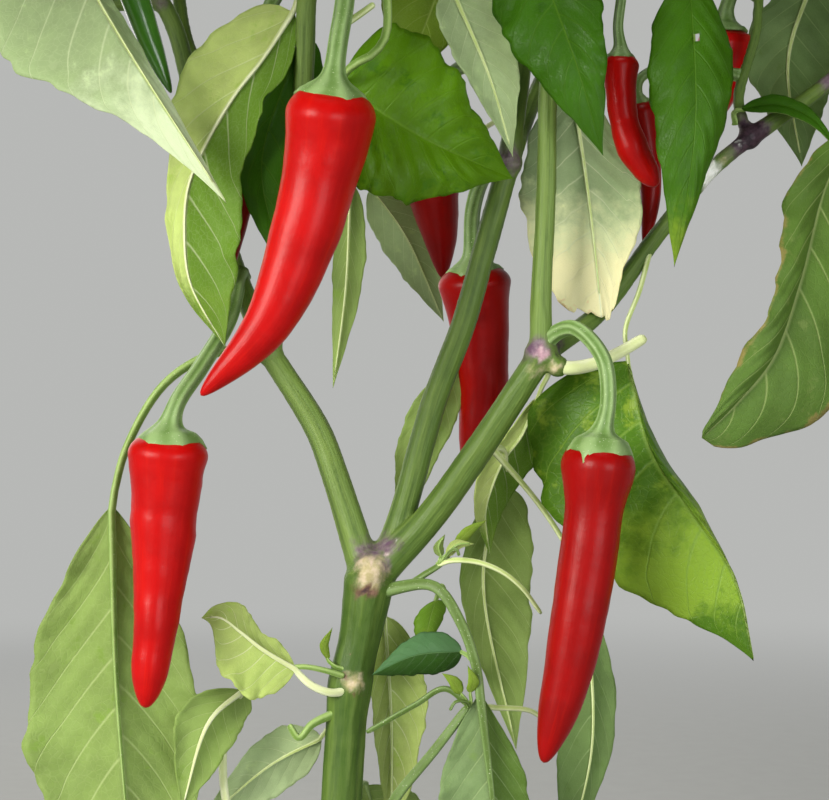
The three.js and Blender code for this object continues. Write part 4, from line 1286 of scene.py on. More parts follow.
CAP_RIMS = {"pod_2": 0.86, "pod_4": 0.8}
CAP_RINGS = ((-0.25, -0.5, 0.0), (-0.02, -0.5, 1.0), (0.0, 0.3, 1.0), (-0.06, 0.9, 0.5))


def shoulder_fall(out, length):
    """How far under its top a pod's shoulder lies, where out is the share of its radius."""
    rest = np.clip((out - SHOULDER) / (1 - SHOULDER), 0, 0.98)
    return length * SHOULDER_LENGTH * (1 - np.sqrt(1 - rest ** 2))


def stalk_piece(name, pod_line, stalk, pod_radius, rim, material):
    """Cap and stalk of one pod, with its rim at a share of the pod's radius."""
    top = np.array(pod_line[0], float)
    down = unit(np.array(pod_line[1], float) - top)
    pod_length = distances(np.array(pod_line, float))[-1]
    line = smooth_line(np.vstack([top, top - down * 3.0, np.array(stalk)]) * MM, STALK_LINE_POINTS)
    gone = distances(line)
    cap = pod_radius * MM
    neck = max(THINNEST_NECK, NECK_SHARE * pod_radius) * MM
    if pod_radius <= SMALL_POD_RADIUS:
        neck = SMALL_POD_NECK * MM
    places = np.linspace(CAP_START, CAP_HEIGHT, CUP_STEPS)[:-1]
    places = np.concatenate([places, np.linspace(CAP_HEIGHT, gone[-1], CAP_STEPS)])
    middle = read_line(line, gone, places)
    rise = (places - CAP_START) / MM
    narrowing = CUP_SHARE * np.exp(-(rise / CUP_REACH) ** 1.5)
    narrowing += COLLAR_SHARE * np.exp(-(rise / COLLAR_REACH) ** 2)
    radius = neck * STALK_SHARE + (CAP_SPREAD * rim * cap - neck * STALK_SHARE) * narrowing
    radius += FOOT_SWELLING * neck * np.exp((places - gone[-1]) / FOOT_LENGTH)
    angle = np.linspace(0, 2 * math.pi, CAP_SIDES + 1)
    rib = np.cos(CAP_POINTS * angle)
    wall = radius[:, None] * (1 + CAP_RIBS * rib[None])
    _, side, up = side_vectors(middle)
    spread = np.cos(angle)[:, None] * side[0] + np.sin(angle)[:, None] * up[0]
    point = np.clip(rib, 0, 1) ** 3 * (1 + 0.6 * np.cos(2 * angle + pod_radius))
    drop = down * MM
    rims = []
    for out, above, reach in CAP_RINGS:
        place = rim + out + POINT_LENGTH * reach * point
        fall = shoulder_fall(place, pod_length) - above + VALLEY * pod_radius * np.sin(angle) ** 2
        rims.append(top * MM + spread * (cap * place)[:, None] + drop * fall[:, None])
    tube = ring_places(middle, wall, CAP_SIDES)
    pole = np.repeat((top * MM + 0.3 * drop)[None, None], CAP_SIDES + 1, axis=1)
    piece = grid_piece(name, np.concatenate([pole, np.array(rims), tube[1:]]), True)
    piece.data.materials.append(material)
    return piece


for pod, stalk in STALK_LINES.items():
    points, radius = PODS[pod][:2]
    rim = CAP_RIMS.get(pod, CAP_RIM)
    piece = stalk_piece("cap_and_stalk_of_" + pod, points, stalk, radius, rim, STALKS["pod"])
    hand_in(piece, ["stalk_of_" + pod])
print("caps and stalks:", len(STALK_LINES))

# %% [markdown]
# ## Small leaves and shoots between the boughs
# Round the fork and behind the pods the photo shows smaller leaves, a cream leaf stalk broken off short,
# and thin side shoots with buds. They are modelled like the large ones, each from the limb that carries it.

# %% Small leaves and shoots
SMALL = dict(thick=0.95, puff=0.45, ripple=0.9, rows=56, columns=20)
TINY = dict(puff=0.1, ripple=0.3, thick=0.6, rows=24, columns=8)
SMALL_LEAVES = {
    "small_leaf_node_left": dict(
        stalk=[(2.5, -3.5, 206.5), (-4, -7.5, 206), (-10, -9, 208.5), (-14, -9, 212)],
        rib=[(-15, -9, 213), (-25, -12, 219.6), (-32, -12.5, 225.4), (-37.6, -12, 229.4),
             (-43.8, -10, 229.2)],
        left=[(0.5, 4, 6), (0, 4, 6), (0.2, 4, 4), (3, 4, 7), (7.5, 4, 11), (-2, 3, 22)],
        right=[(-3, -4, -10), (-3, -5, -12), (-3, -6, -14.5), (-7.4, -6, -14), (-7, -4, -15.6), (6, -2, -9)],
        sides=("bright", "yellow"), finish="cream", seed=31, thick=1.3),
    "small_leaf_low_left": dict(
        stalk=[(-1, 0, 140), (-20, 6, 148), (-36, 8, 164), (-38.9, 8, 184), (-37, 8, 196), (-32.5, 6, 204.5)],
        rib=[(-32.4, 5, 204.8), (-42.4, 0, 196), (-51, -2, 168)],
        left=[(-9, -2, 5), (-8, -2, 3)], right=[(9, 4, -5), (9, 3, -3)],
        sides=("bright", "soft"), finish="cream", seed=32, thick=1.45),
    "small_leaf_behind_stem": dict(
        stalk=[(1, 4, 196), (-4, 12, 194), (-7, 13, 190)],
        rib=[(-7.8, 12, 188.6), (-24.5, 14, 179.6), (-48, 10, 160)],
        left=[(-3, 2, 9), (-2, 2, 8)], right=[(2, 2, -11), (2, 2, -9)],
        sides=("fresh", "pale"), finish="pale", seed=33),
    "small_leaf_behind_right_bough": dict(
        stalk=[(60.5, -10, 309), (64, 4, 305), (62, 10, 300)],
        rib=[(60.5, 11, 297), (55.5, 11, 285), (50, 10, 277.5), (46.3, 10, 269), (44, 9, 260),
             (45.5, 9, 247)],
        left=[(-4, -3, 0), (-6.5, -3, 0), (-6.5, -3, 0)], right=[(9, 6, -1), (10.5, 6, -1), (9.5, 6, -1)],
        sides=("fresh", "folded"), finish="pale", seed=34, puff=0.3, ripple=0.6),
    "small_leaf_behind_pod": dict(
        stalk=[(44, -6, 283), (62, 8, 262), (76, 10, 240)],
        rib=[(76.5, 9, 229), (77.5, 6, 186), (67, 2, 146)],
        left=[(-13, 2, 0), (-11, 2, 0)], right=[(8, 3, 0), (7, 3, 0)],
        sides=("fresh", "dull"), finish="pale", seed=35),
    "small_leaf_behind_middle": dict(
        stalk=[(40, 2, 332), (39, 18, 322), (36, 24, 312)],
        rib=[(35, 25, 308), (23.5, 25, 280), (16.3, 25, 252.4)],
        left=[(-9, 2, 0), (-8, 2, 0)], right=[(9, 3, 1), (8, 3, 1)],
        sides=("fresh", "soft"), finish="pale", seed=36),
    "small_leaf_hanging_left": dict(
        stalk=[(-15, 10, 376), (-6, 16, 378), (0, 16, 370)],
        rib=[(1.1, 15, 366), (-0.5, 15, 331.5), (-4.3, 12, 300)],
        left=[(-4.8, 1, 0), (-4.4, 1, 0)], right=[(6, 4, 0), (5, 4, 0)],
        sides=("fresh", "soft"), finish="pale", seed=37, puff=0.3, ripple=0.8),
    "small_leaf_beside_pod_5": dict(
        stalk=[(54, 8, 392), (52, 44, 392), (40, 73, 388), (20, 80, 381)],
        rib=[(6.2, 77, 371), (18.4, 75, 354), (32, 74, 323.5)],
        left=[(-7, 4, -7), (-6, 3, -6)], right=[(9, 2, 6), (8, 2, 6)],
        sides=("fresh", "pale"), finish="pale", seed=38, puff=0.3),
    "small_leaf_behind_top": dict(
        stalk=[(57, 22, 458), (50, 24, 464), (42, 24, 456)],
        rib=[(41, 24, 455), (30, 24, 430), (17, 21, 396)],
        left=[(-20, 3, 3), (-17, 3, 2)], right=[(15, 3, -4), (13, 3, -4)],
        shows="upper", sides=("bright", "soft"), seed=52),
    "small_leaf_dark_left": dict(
        stalk=[(-11, 0, 430), (-13, 5, 426), (-14, 7, 418)],
        rib=[(-13.6, 8, 412), (-18, 7, 400), (-26.4, 3, 368.8), (-16, -2, 330)],
        left=[(-10, -3, 1), (-9, -3, 1)], right=[(14, 4, 0), (12, 4, 0)],
        shows="upper", sides=("deep_shaded", "soft"), seed=39),
    "small_leaf_dark_by_stem": dict(
        stalk=[(41.5, -16, 209), (41, -10, 214), (38, -6, 217.5)],
        rib=[(36.5, -5, 218.3), (22, -8, 217.5), (8.5, -8.5, 211.5)],
        left=[(0, 3, 6.5), (-1, 3, 6)], right=[(1, 3, -7), (0, 3, -7)],
        shows="upper", sides=("shade_and_sky_sheen", "grey"), seed=40, puff=0.25, ripple=0.5),
    "small_leaf_above_bluish": dict(
        stalk=[(30, -11, 238.5), (29.5, -6, 237.5), (28.6, -4, 235)],
        rib=[(28.4, -4, 234.2), (26.5, -3, 228), (24.5, -4, 218)],
        left=[(-5, 1, -1), (-5, 1, -1)], right=[(4.5, 2, 1), (4.5, 2, 1)],
        shows="upper", sides=("fresh", "grey"), seed=45, puff=0.2, ripple=0.5, rows=36, columns=12),
    "small_leaf_at_node": dict(
        stalk=[(-0.5, -5, 213), (-3, -6, 214), (-4.9, -6, 215.5)],
        rib=[(-5.2, -6, 216), (-6.3, -7, 220.4), (-3.6, -8, 226)],
        left=[(-1.4, 0, 0.3), (-1.2, 0, 0.3)], right=[(1.6, 1, -0.3), (1.4, 1, -0.3)],
        shows="upper", sides=("bright", "soft"), seed=46, puff=0.1, ripple=0.4, thick=0.7, rows=24,
        columns=8),
    "tiny_leaf_fork_high": dict(
        stalk=[(30, -8, 246), (31.5, -9, 248.5), (33.5, -9, 250.8)],
        rib=[(34, -9, 251.2), (38.8, -10, 256.2), (44, -10, 259.4)],
        left=[(-1.2, 0, 1.5), (-1, 0, 1.3)], right=[(1.2, 1, -1.5), (1, 1, -1.3)],
        shows="upper", sides=("bright", "soft"), seed=47, **TINY),
    "tiny_leaf_fork_low": dict(
        stalk=[(29, -8, 245.6), (30, -9, 247), (31, -9.5, 248.2)],
        rib=[(31.3, -9.5, 248.6), (35, -11, 252), (40, -11, 252.2)],
        left=[(-0.8, 0, 1.7), (-0.6, 0, 1.5)], right=[(0.8, 1, -1.7), (0.6, 1, -1.5)],
        sides=("fresh", "yellow"), seed=48, **TINY),
    "tiny_leaf_fork_upright": dict(
        stalk=[(29, -8, 245.4), (29.4, -9, 246.6), (29.7, -9, 247.8)],
        rib=[(29.8, -9, 248), (29, -10, 251.4), (31, -10.5, 255)],
        left=[(-1.6, 0, -0.4), (-1.5, 0, 0)], right=[(1.6, 1, 0.4), (1.5, 1, 0)],
        sides=("fresh", "soft"), seed=49, **TINY),
    "tiny_leaf_shoot_left": dict(
        stalk=[(38.5, -15, 203), (37.4, -16, 205), (36.2, -17, 206.6)],
        rib=[(36, -17, 207), (33.2, -18.5, 211.4), (30, -18, 213.4)],
        left=[(-1.6, 0, -1.2), (-1.4, 0, -1)], right=[(1.6, 1, 1.2), (1.4, 1, 1)],
        shows="upper", sides=("bright", "soft"), seed=50, **TINY),
    "tiny_leaf_shoot_right": dict(
        stalk=[(38.5, -15, 203), (38.9, -17, 205), (38.6, -18, 207)],
        rib=[(38.6, -18, 207.4), (39.6, -20, 211.4), (37.8, -20, 216)],
        left=[(-1.9, 0, 0), (-1.7, 0, 0)], right=[(1.8, 1, 0), (1.6, 1, 0)],
        shows="upper", sides=("bright", "soft"), seed=51, **TINY),
    "small_leaf_narrow_right": dict(
        stalk=[(126, 24, 386), (125, 22, 389), (126, 20, 390)],
        rib=[(127, 19, 390), (138, 16, 391), (149, 14, 386), (158, 12, 374)],
        left=[(0, 1, 3.5), (1, 1, 3)], right=[(0, -2, -3), (-1, -2, -3)],
        shows="upper", sides=("deep_shaded", "soft"), seed=41, puff=0.2, ripple=0.5),
    "stem_leaf_low_right": dict(
        stalk=[(-2, 2, 118), (14, 14, 128), (28, 24, 124)],
        rib=[(29, 25, 123), (52, 36, 104), (70, 40, 66)],
        left=[(6, 14, 8), (6, 12, 6)], right=[(-4, -16, -6), (-4, -14, -5)],
        shows="upper", sides=("fresh", "soft"), seed=42),
    "stem_leaf_low_left": dict(
        stalk=[(-3, 0, 92), (-18, 12, 104), (-30, 22, 102)],
        rib=[(-31, 23, 101), (-52, 34, 84), (-66, 42, 48)],
        left=[(-8, 14, -2), (-8, 12, -2)], right=[(10, -14, 6), (10, -12, 4)],
        shows="upper", sides=("mottled", "soft"), seed=43),
    "stem_leaf_back": dict(
        stalk=[(-1, 2, 160), (4, 18, 172), (6, 34, 170)],
        rib=[(6, 36, 169), (8, 62, 152), (6, 84, 112)],
        left=[(-17, 2, 2), (-15, 2, 2)], right=[(17, 2, 2), (15, 2, 2)],
        sides=("fresh", "soft"), seed=44),
}

for leaf, form in SMALL_LEAVES.items():
    hand_in(build_leaf(leaf, **(SMALL | form)))
print("small leaves:", len(SMALL_LEAVES))

SHOOTS = {
    "broken_leaf_stalk": (
        [(62, -12, 308), (68, -14, 306), (76, -13, 307), (84, -10.5, 310.4), (92.8, -8, 315.4)],
        2.3, 1.7, "cream"),
    "twig_by_stem": (
        [(-1, 0, 138), (8, -5, 156), (15, -8, 172), (28, -12, 189), (38.5, -14, 203)], 1.9, 1.4, "shoot"),
    "shoot_at_fork": (
        [(15, -3, 238), (19.3, -6, 238.8), (25, -8, 242.5), (30.2, -8, 246), (34, -8, 251), (42, -8, 257.5)],
        1.25, 0.6, "shoot"),
    "thin_stalk_right_of_fork": (
        [(29, -8, 245.5), (33, -9, 246.8), (41, -9, 246.3), (49, -8, 243), (55, -7, 238), (61, -4, 230)],
        0.95, 0.65, "pale"),
    "thin_stalk_low_right": (
        [(39, -14, 203), (46, -12, 202), (57, -8, 200.5), (62, -4, 197)], 1.0, 0.7, "pale"),
    "thin_stalk_low_left": (
        [(38.5, -14, 203), (31, -13, 208), (22, -12, 203), (7, -9, 194)], 1.0, 0.8, "shoot"),
    "cut_stalk_upper": ([(-0.5, -40, 405), (4.2, -38, 408.3), (9.8, -36, 412.7)], 1.15, 0.95, "pale"),
    "second_stalk_at_node": (
        [(-0.4, -6, 211), (-6, -8.5, 213), (-11.5, -9.5, 214.2), (-17, -9, 214)], 1.0, 0.8, "green"),
    "bud_stalk_shoot": (
        [(38.5, -16, 203), (37, -19, 205), (34, -21, 205), (32.4, -21, 202.6)], 0.5, 0.5, "shoot"),
    "bud_stalk_fork": (
        [(31, -9.5, 247.5), (33, -11, 250), (34.6, -12, 250.4), (35.4, -12, 248.6)], 0.5, 0.5, "shoot"),
    "stalk_below_node": ([(-3, -3, 199), (-10, -6, 196), (-14, -7, 192), (-17, -7, 196)], 1.5, 1.0, "green"),
}
SHOOT_POINTS = 40
SHOOT_SIDES = 14
SHOOT_RIB_DEPTH = 0.05
SHOOT_END = (0.93, 0.65)
for shoot, (points, first, last, finish) in SHOOTS.items():
    line = smooth_line(np.array(points) * MM, SHOOT_POINTS)
    radius = np.linspace(first, last, SHOOT_POINTS) * MM
    radius[-2:] *= SHOOT_END
    hand_in(tube_piece(shoot, line, radius, SHOOT_SIDES, STALKS[finish], SHOOT_RIB_DEPTH))
print("shoots:", len(SHOOTS))

# %% [markdown]
# ## The crown: a branching rule
# Above and around the boughs each mass of foliage grows on from the limb that enters it. Seeded places
# spread evenly through the mass. From the nearest to the farthest, each is joined by a curved twig to the
# closest node that is already there. So the twigs fork and thin out just as a real chilli plant does. The
# gaps between the masses are filled in the same way, from the nearest nodes.

# %% Growing twigs
MASSES = {
    "foliage_top": ((20, 20, 570), (108, 98, 72), ["bough_left_inner", "bough_middle_upper"], 46),
    "foliage_left": ((-150, -10, 500), (86, 92, 72), ["bough_left_outer"], 34),
    "foliage_right": ((190, 0, 500), (86, 92, 72), ["bough_far_right", "bough_right_twig"], 34),
    "foliage_front_left": ((-66, -140, 500), (86, 70, 64), ["bough_front_left"], 26),
    "foliage_front_right": ((108, -140, 496), (86, 70, 64), ["bough_right_upright"], 26),
    "foliage_back_left": ((-70, 140, 545), (88, 76, 74), ["bough_back_left"], 30),
    "foliage_back_right": ((112, 140, 540), (88, 76, 74), ["bough_back_right"], 30),
    "foliage_low_left": ((-168, 20, 330), (46, 60, 70), ["bough_low_left"], 16),
    "foliage_low_right": ((216, 20, 330), (52, 60, 70), ["bough_low_right"], 16),
}
TWIG_REACH = 0.8
TRIES = 14
TWIG_SEED = 100
GAP_TWIG_SEED = 120
HOMEWARD = 0.12
TWIG_START = 0.95
TWIG_BEND = 0.05
TWIG_LEAVES = 0.35
TWIG_ARRIVES = 0.3
NODE_TURN = 0.35
TWIG_THINNING = 0.84
THINNEST_TWIG = 0.75
TWIG_POINTS = 7


def spread_places(dice, middle, reach, count):
    """Places spread evenly through an egg shape, each the best of several tries."""
    chosen = []
    while len(chosen) < count:
        tries = unit(dice.normal(size=(TRIES, 3))) * dice.uniform(0.25, 1, (TRIES, 1)) ** 0.5
        tries = np.array(middle) + tries * np.array(reach) * TWIG_REACH
        if not chosen:
            chosen.append(tries[0])
            continue
        gaps = np.linalg.norm(tries[:, None] - np.array(chosen)[None], axis=2).min(1)
        chosen.append(tries[gaps.argmax()])
    return np.array(chosen)


def grow_twigs(dice, middle, reach, known_nodes, count):
    """(nodes, twigs): nodes as (place, direction, radius), twigs as (line, first radius, last radius)."""
    nodes = list(known_nodes)
    start = nodes[0][0]
    places = spread_places(dice, middle, reach, count)
    places = places[np.argsort(np.linalg.norm(places - start, axis=1))]
    twigs = []
    for place in places:
        known = np.array([node[0] for node in nodes])
        cost = np.linalg.norm(known - place, axis=1) + HOMEWARD * np.linalg.norm(known - start, axis=1)
        base, heading, radius = nodes[int(cost.argmin())]
        size = np.linalg.norm(place - base)
        arrives = place - unit(place - base) * size * TWIG_ARRIVES
        arrives += dice.normal(size=3) * size * TWIG_BEND
        bend = [base, base + heading * size * TWIG_LEAVES, arrives, place]
        thin = max(THINNEST_TWIG, radius * TWIG_THINNING)
        twigs.append((smooth_line(bend, TWIG_POINTS), radius * TWIG_START, thin))
        nodes.append((place, unit(unit(place - base) + NODE_TURN * dice.normal(size=3)), thin))
    return nodes[len(known_nodes):], twigs


def limb_node(limb, k, radius):
    """A node on a limb, at its line's place number k."""
    line = limbs[limb] / MM
    return line[k], unit(line[k] - line[k - 3]), radius


crown = {}
for number, (mass, (middle, reach, feeds, count)) in enumerate(MASSES.items()):
    dice = np.random.default_rng(TWIG_SEED + number)
    ends = [limb_node(feed, -1, radii[feed][-1] / MM) for feed in feeds]
    crown[mass] = grow_twigs(dice, middle, reach, ends, count)
print("twigs in the masses:", sum(len(twigs) for _, twigs in crown.values()))

BETWEEN = {
    "left_and_front_left": ((-114, -80, 498), (50, 44, 44), 9),
    "right_and_front_right": ((154, -80, 494), (50, 44, 44), 9),
    "front_left_and_front_right": ((20, -116, 516), (54, 44, 40), 10),
    "back_left_and_back_right": ((20, 146, 546), (54, 44, 48), 10),
    "left_and_back_left": ((-118, 70, 520), (46, 46, 48), 9),
    "right_and_back_right": ((160, 70, 516), (46, 46, 48), 9),
    "left_and_low_left": ((-164, 38, 412), (36, 40, 44), 9),
    "right_and_low_right": ((208, 38, 412), (36, 40, 44), 9),
}
SIDE_TWIG_RADIUS = 1.3
SIDE_TWIG_STEP = 8
NEAREST_NODES = 8
open_nodes = [node for nodes, _ in crown.values() for node in nodes]
for limb in BOUGHS:
    outer_half = range(len(limbs[limb]) // 2, len(limbs[limb]), SIDE_TWIG_STEP)
    open_nodes += [limb_node(limb, k, SIDE_TWIG_RADIUS) for k in outer_half]
for number, (gap, (middle, reach, count)) in enumerate(BETWEEN.items()):
    away = [np.linalg.norm(node[0] - np.array(middle)) for node in open_nodes]
    nearest = [open_nodes[k] for k in np.argsort(away)[:NEAREST_NODES]]
    crown[gap] = grow_twigs(np.random.default_rng(GAP_TWIG_SEED + number), middle, reach, nearest, count)
print("twigs in the crown:", sum(len(twigs) for _, twigs in crown.values()))

# %% [markdown]
# ## The crown: leaves in sprays
# A crown leaf is a small sheet of seven strips: the narrow middle strip is its pale midrib, and the blade
# bends up from it, droops to its tip and ripples at its margin. All leaves of one mass are one mesh built
# from arrays, and so are those between the masses. Each spray of a node takes one of a few plain greens as
# painted light: lighter towards the outside and the top of a mass, and darker far inside, as painted shade.

# %% Crown leaves
STRIP_EDGES = np.array([-1, -0.62, -0.28, -0.04, 0.04, 0.28, 0.62, 1])
LEAF_SEED = 200
GAP_LEAF_SEED = 220
RIB_STRIP = 3
RIB_PAINT = 4
LEAF_STEPS = 11
STALK_SIDES = 4
STALK_RADII = np.linspace(1.1, 0.6, 7)
SHEET_MERGE = 0.002 * MM
LEAF_LENGTHS = (54, 92)
THIRD_LEAF = 0.75
LEAF_DROOPS = (0.7, 1.7)
LIGHT_STEPS = (0.35, 0.62, 0.9)
LIGHT_ABOVE = 0.35
LIGHT_CHANCE = 0.18
FULL_SPRAY_FROM = 0.5
SPRAY_TURN = 2.4
TURN_CHANCE = 0.25
FAN_AIM = 0.75
OUTWARD_AIM = 0.55
TWIG_AIM = 0.25
UPWARD_AIM = (0, 0, 0.15)
TIP_ROOM = 1.1
MIDDLE_ROOM = 1.04
INWARD_TURN = 0.45
SHORTENING = 0.8
LEAF_TRIES = 4
ROOM_BETWEEN = 1.5
STALK_SHARES = (0.22, 0.36)
STALK_RISE = 0.35
LEAF_ROLL = 0.35
HALF_BREADTHS = (0.23, 0.29)
LEAF_FOLDS = (0.15, 0.5)
LEAF_PUFF = 0.012
LEAF_RIPPLE = 0.02
OPEN_WIDE = 0.2089
OPEN_HIGH = 0.2016
OPEN_MARGIN = 5.0


def strip_faces(rows, columns, start):
    """The faces of a grid of points numbered from start."""
    k = np.arange(rows - 1)[:, None] * columns + np.arange(columns - 1)[None] + start
    return np.stack([k, k + 1, k + 1 + columns, k + columns], axis=-1).reshape(-1, 4)


class Sheet:
    """Points and faces of many small shapes that become one mesh."""

    def __init__(self):
        self.points = []
        self.faces = []
        self.paints = []
        self.count = 0

    def add(self, grid, paints):
        """Adds a grid of points. paints has a material number for each face."""
        rows, columns = grid.shape[:2]
        faces = strip_faces(rows, columns, self.count)
        self.points.append(grid.reshape(-1, 3))
        self.faces.append(faces)
        self.paints.append(np.broadcast_to(paints, (rows - 1, columns - 1)).reshape(-1))
        self.count += rows * columns

    def piece(self, name, materials):
        """The mesh of everything added so far."""
        mesh = bpy.data.meshes.new(name)
        mesh.from_pydata(np.vstack(self.points) * MM, [], np.vstack(self.faces).tolist())
        made = bpy.data.objects.new(name, mesh)
        bpy.context.scene.collection.objects.link(made)
        for material in materials:
            mesh.materials.append(material)
        mesh.polygons.foreach_set("material_index", np.concatenate(self.paints).astype(np.int32))
        select_only(made)
        merge_close(SHEET_MERGE)
        return made


def crown_leaf(dice, base, heading, length, droop):
    """(stalk line, blade grid, midrib line) of one crown leaf that starts at base."""
    flat = np.array([heading[0], heading[1], 0.0]) + 1e-6
    rise = math.atan2(heading[2], np.linalg.norm(flat))
    flat = unit(flat)
    up = np.array([0.0, 0.0, 1.0])
    stalk_length = length * dice.uniform(*STALK_SHARES)
    bend = np.linspace(0, 1, 5)
    angles = rise + STALK_RISE * np.sin(bend * math.pi)
    steps = (np.cos(angles)[:, None] * flat + np.sin(angles)[:, None] * up) * stalk_length / 4
    stalk = np.vstack([base, base + np.cumsum(steps[:-1], axis=0)])
    t = np.linspace(0, 1, LEAF_STEPS)
    angles = rise + 0.1 - droop * t ** 0.9
    steps = (np.cos(angles)[:, None] * flat + np.sin(angles)[:, None] * up) * length / (LEAF_STEPS - 1)
    rib = np.vstack([stalk[-1], stalk[-1] + np.cumsum(steps[:-1], axis=0)])
    side = np.cross(flat, up)
    normal = np.cos(angles)[:, None] * up - np.sin(angles)[:, None] * flat
    roll = dice.normal() * LEAF_ROLL
    across = math.cos(roll) * side + math.sin(roll) * normal
    above = math.cos(roll) * normal - math.sin(roll) * side
    half = length * dice.uniform(*HALF_BREADTHS) * blade_share(t, 1.1, 0.7)
    fold = dice.uniform(*LEAF_FOLDS)
    edge = np.abs(STRIP_EDGES)
    puff = LEAF_PUFF * length * np.where(np.arange(LEAF_STEPS) % 2, 1.0, -0.2)
    lift = half[:, None] * math.sin(fold) * edge[None] ** 1.2
    lift += (puff[:, None] * np.sin(math.pi * edge)[None]) * (half / half.max())[:, None]
    lift += LEAF_RIPPLE * length * waves(t * 9 + dice.uniform(0, 9), 2)[:, None] * edge[None] ** 2
    out = half[:, None] * math.cos(fold) * STRIP_EDGES[None]
    blade = rib[:, None] + out[..., None] * across[:, None] + lift[..., None] * above[:, None]
    return stalk, blade, rib


def in_the_open(points):
    """Whether any point lies in the middle of the plant, which the photo shows free of crown leaves."""
    points = points.reshape(-1, 3)
    away = points[:, 1] - EYE[1] / MM
    sideways = np.abs(points[:, 0] - EYE[0] / MM) < OPEN_WIDE * away + OPEN_MARGIN
    upright = np.abs(points[:, 2] - EYE[2] / MM) < OPEN_HIGH * away + OPEN_MARGIN
    return bool(np.any(sideways & upright))


def inside(place, middle, reach):
    """How far out a place lies in an egg shape, where 1 is its surface."""
    return float(np.linalg.norm((place - np.array(middle)) / np.array(reach)))


def dress_mass(dice, nodes, middle, reach, sheet, room=1.0):
    """Puts sprays of leaves on every node of a mass, whose leaves may reach out by a share of room."""
    made = 0
    widest = np.array(reach) * room
    for place, heading, _ in nodes:
        outer = inside(place, middle, reach)
        # Painted light: the nearer a node lies to the outside and the top of its mass, the lighter the green
        # of its leaves; far inside they take a darker green as painted shade.
        light = outer + LIGHT_ABOVE * (place[2] - middle[2]) / reach[2] + dice.normal() * LIGHT_CHANCE
        paint = int(np.digitize(light, LIGHT_STEPS))
        turn = dice.uniform(0, 2 * math.pi)
        for k in range(3 if outer > FULL_SPRAY_FROM else 2):
            turn += SPRAY_TURN + dice.normal() * TURN_CHANCE
            outward = unit((place - np.array(middle)) / np.array(reach) + 1e-6)
            fan = np.array([math.cos(turn), math.sin(turn), 0.1])
            aim = unit(FAN_AIM * fan + OUTWARD_AIM * outward + TWIG_AIM * heading + UPWARD_AIM)
            length = dice.uniform(*LEAF_LENGTHS) * (THIRD_LEAF if k == 2 else 1)
            for _ in range(LEAF_TRIES):
                stalk, blade, rib = crown_leaf(dice, place, aim, length, dice.uniform(*LEAF_DROOPS))
                ends = inside(rib[-1], middle, widest) / TIP_ROOM
                bends = inside(rib[LEAF_STEPS // 2], middle, widest) / MIDDLE_ROOM
                fits = max(ends, bends) < 1 and not in_the_open(blade)
                if fits:
                    break
                length *= SHORTENING
                aim = unit(aim - INWARD_TURN * outward)
            if not fits:
                continue
            paints = np.full((LEAF_STEPS - 1, len(STRIP_EDGES) - 1), paint)
            paints[:, RIB_STRIP] = RIB_PAINT
            sheet.add(blade, paints)
            sheet.add(ring_places(np.vstack([stalk, rib[1:3]]), STALK_RADII, STALK_SIDES), RIB_PAINT)
            made += 1
    return made


def plain_leaf(name, colour, rough, glow):
    """A crown leaf's green: one plain colour with fine clouds, pores and a soft glow."""
    material, tree, shader = new_material(name, specular=0.25)
    spots = coordinates(tree)["Object"]
    skin = use_group(tree, living_skin, Vector=spots, Cloud_Scale=70.0, Pore_Scale=1200.0)
    shade = tuple(0.8 * part for part in colour)
    mixed = blend_colour(tree, skin["Clouds"], shade, colour)
    paint(tree, shader, mixed, skin["Pores"], rough)
    bump(tree, shader, skin["Pores"], 0.12 * MM, 0.5)
    let_light_through(tree, shader, glow, (*(min(1, 1.6 * part) for part in colour), 1))
    return material


# Painted light and shade: from the green in shade far inside the crown to the lit green at its outside; the
# last green is the midrib's.
crown_greens = [
    plain_leaf("crown leaf shade green", (0.05, 0.125, 0.01), 0.4, 0.25),
    plain_leaf("crown leaf half shaded green", (0.08, 0.18, 0.014), 0.42, 0.28),
    plain_leaf("crown leaf green", (0.125, 0.25, 0.022), 0.45, 0.3),
    plain_leaf("crown leaf lit young green", (0.22, 0.35, 0.045), 0.48, 0.33),
    plain_leaf("crown leaf rib", (0.33, 0.45, 0.14), 0.5, 0.1),
]
leaves_made = 0
for number, (mass, (middle, reach, _, _)) in enumerate(MASSES.items()):
    sheet = Sheet()
    dice = np.random.default_rng(LEAF_SEED + number)
    leaves_made += dress_mass(dice, crown[mass][0], middle, reach, sheet)
    hand_in(sheet.piece(mass.replace("foliage", "leaves"), crown_greens), [mass])
sheet = Sheet()
for number, (gap, (middle, reach, _)) in enumerate(BETWEEN.items()):
    dice = np.random.default_rng(GAP_LEAF_SEED + number)
    leaves_made += dress_mass(dice, crown[gap][0], middle, reach, sheet, ROOM_BETWEEN)
hand_in(sheet.piece("leaves_between", crown_greens))
print("crown leaves:", leaves_made)

# %% [markdown]
# ## The crown: twigs, buds and pods
# All twigs are one mesh of slim six-sided tubes. Small buds nod at the outer nodes, and pods
# hang below the leaves: most are ripe and red like the large ones, some are still green. Each kind is one
# mesh too.

# %% Crown twigs, buds and pods
POD_SEED = 300
POD_LENGTHS = (42, 86)
POD_THICKNESS = (0.1, 0.135)
POD_LEAN = 0.16
POD_CURL = 0.12
POD_STEPS = 18
NECK_STEPS = 9
BUD_RADII = [0.5, 0.45, 0.4, 0.6, 1.3, 1.7, 1.3, 0.1]
BUD_REACH = (4, 9)
MOST_PODS = 4
MOST_PODS_BETWEEN = 1
POD_HEIGHTS = (-0.35, 0.5)


def sideways(dice, spread, height):
    """A vector of this height with a seeded spread to the sides."""
    return np.array([dice.normal() * spread, dice.normal() * spread, height])


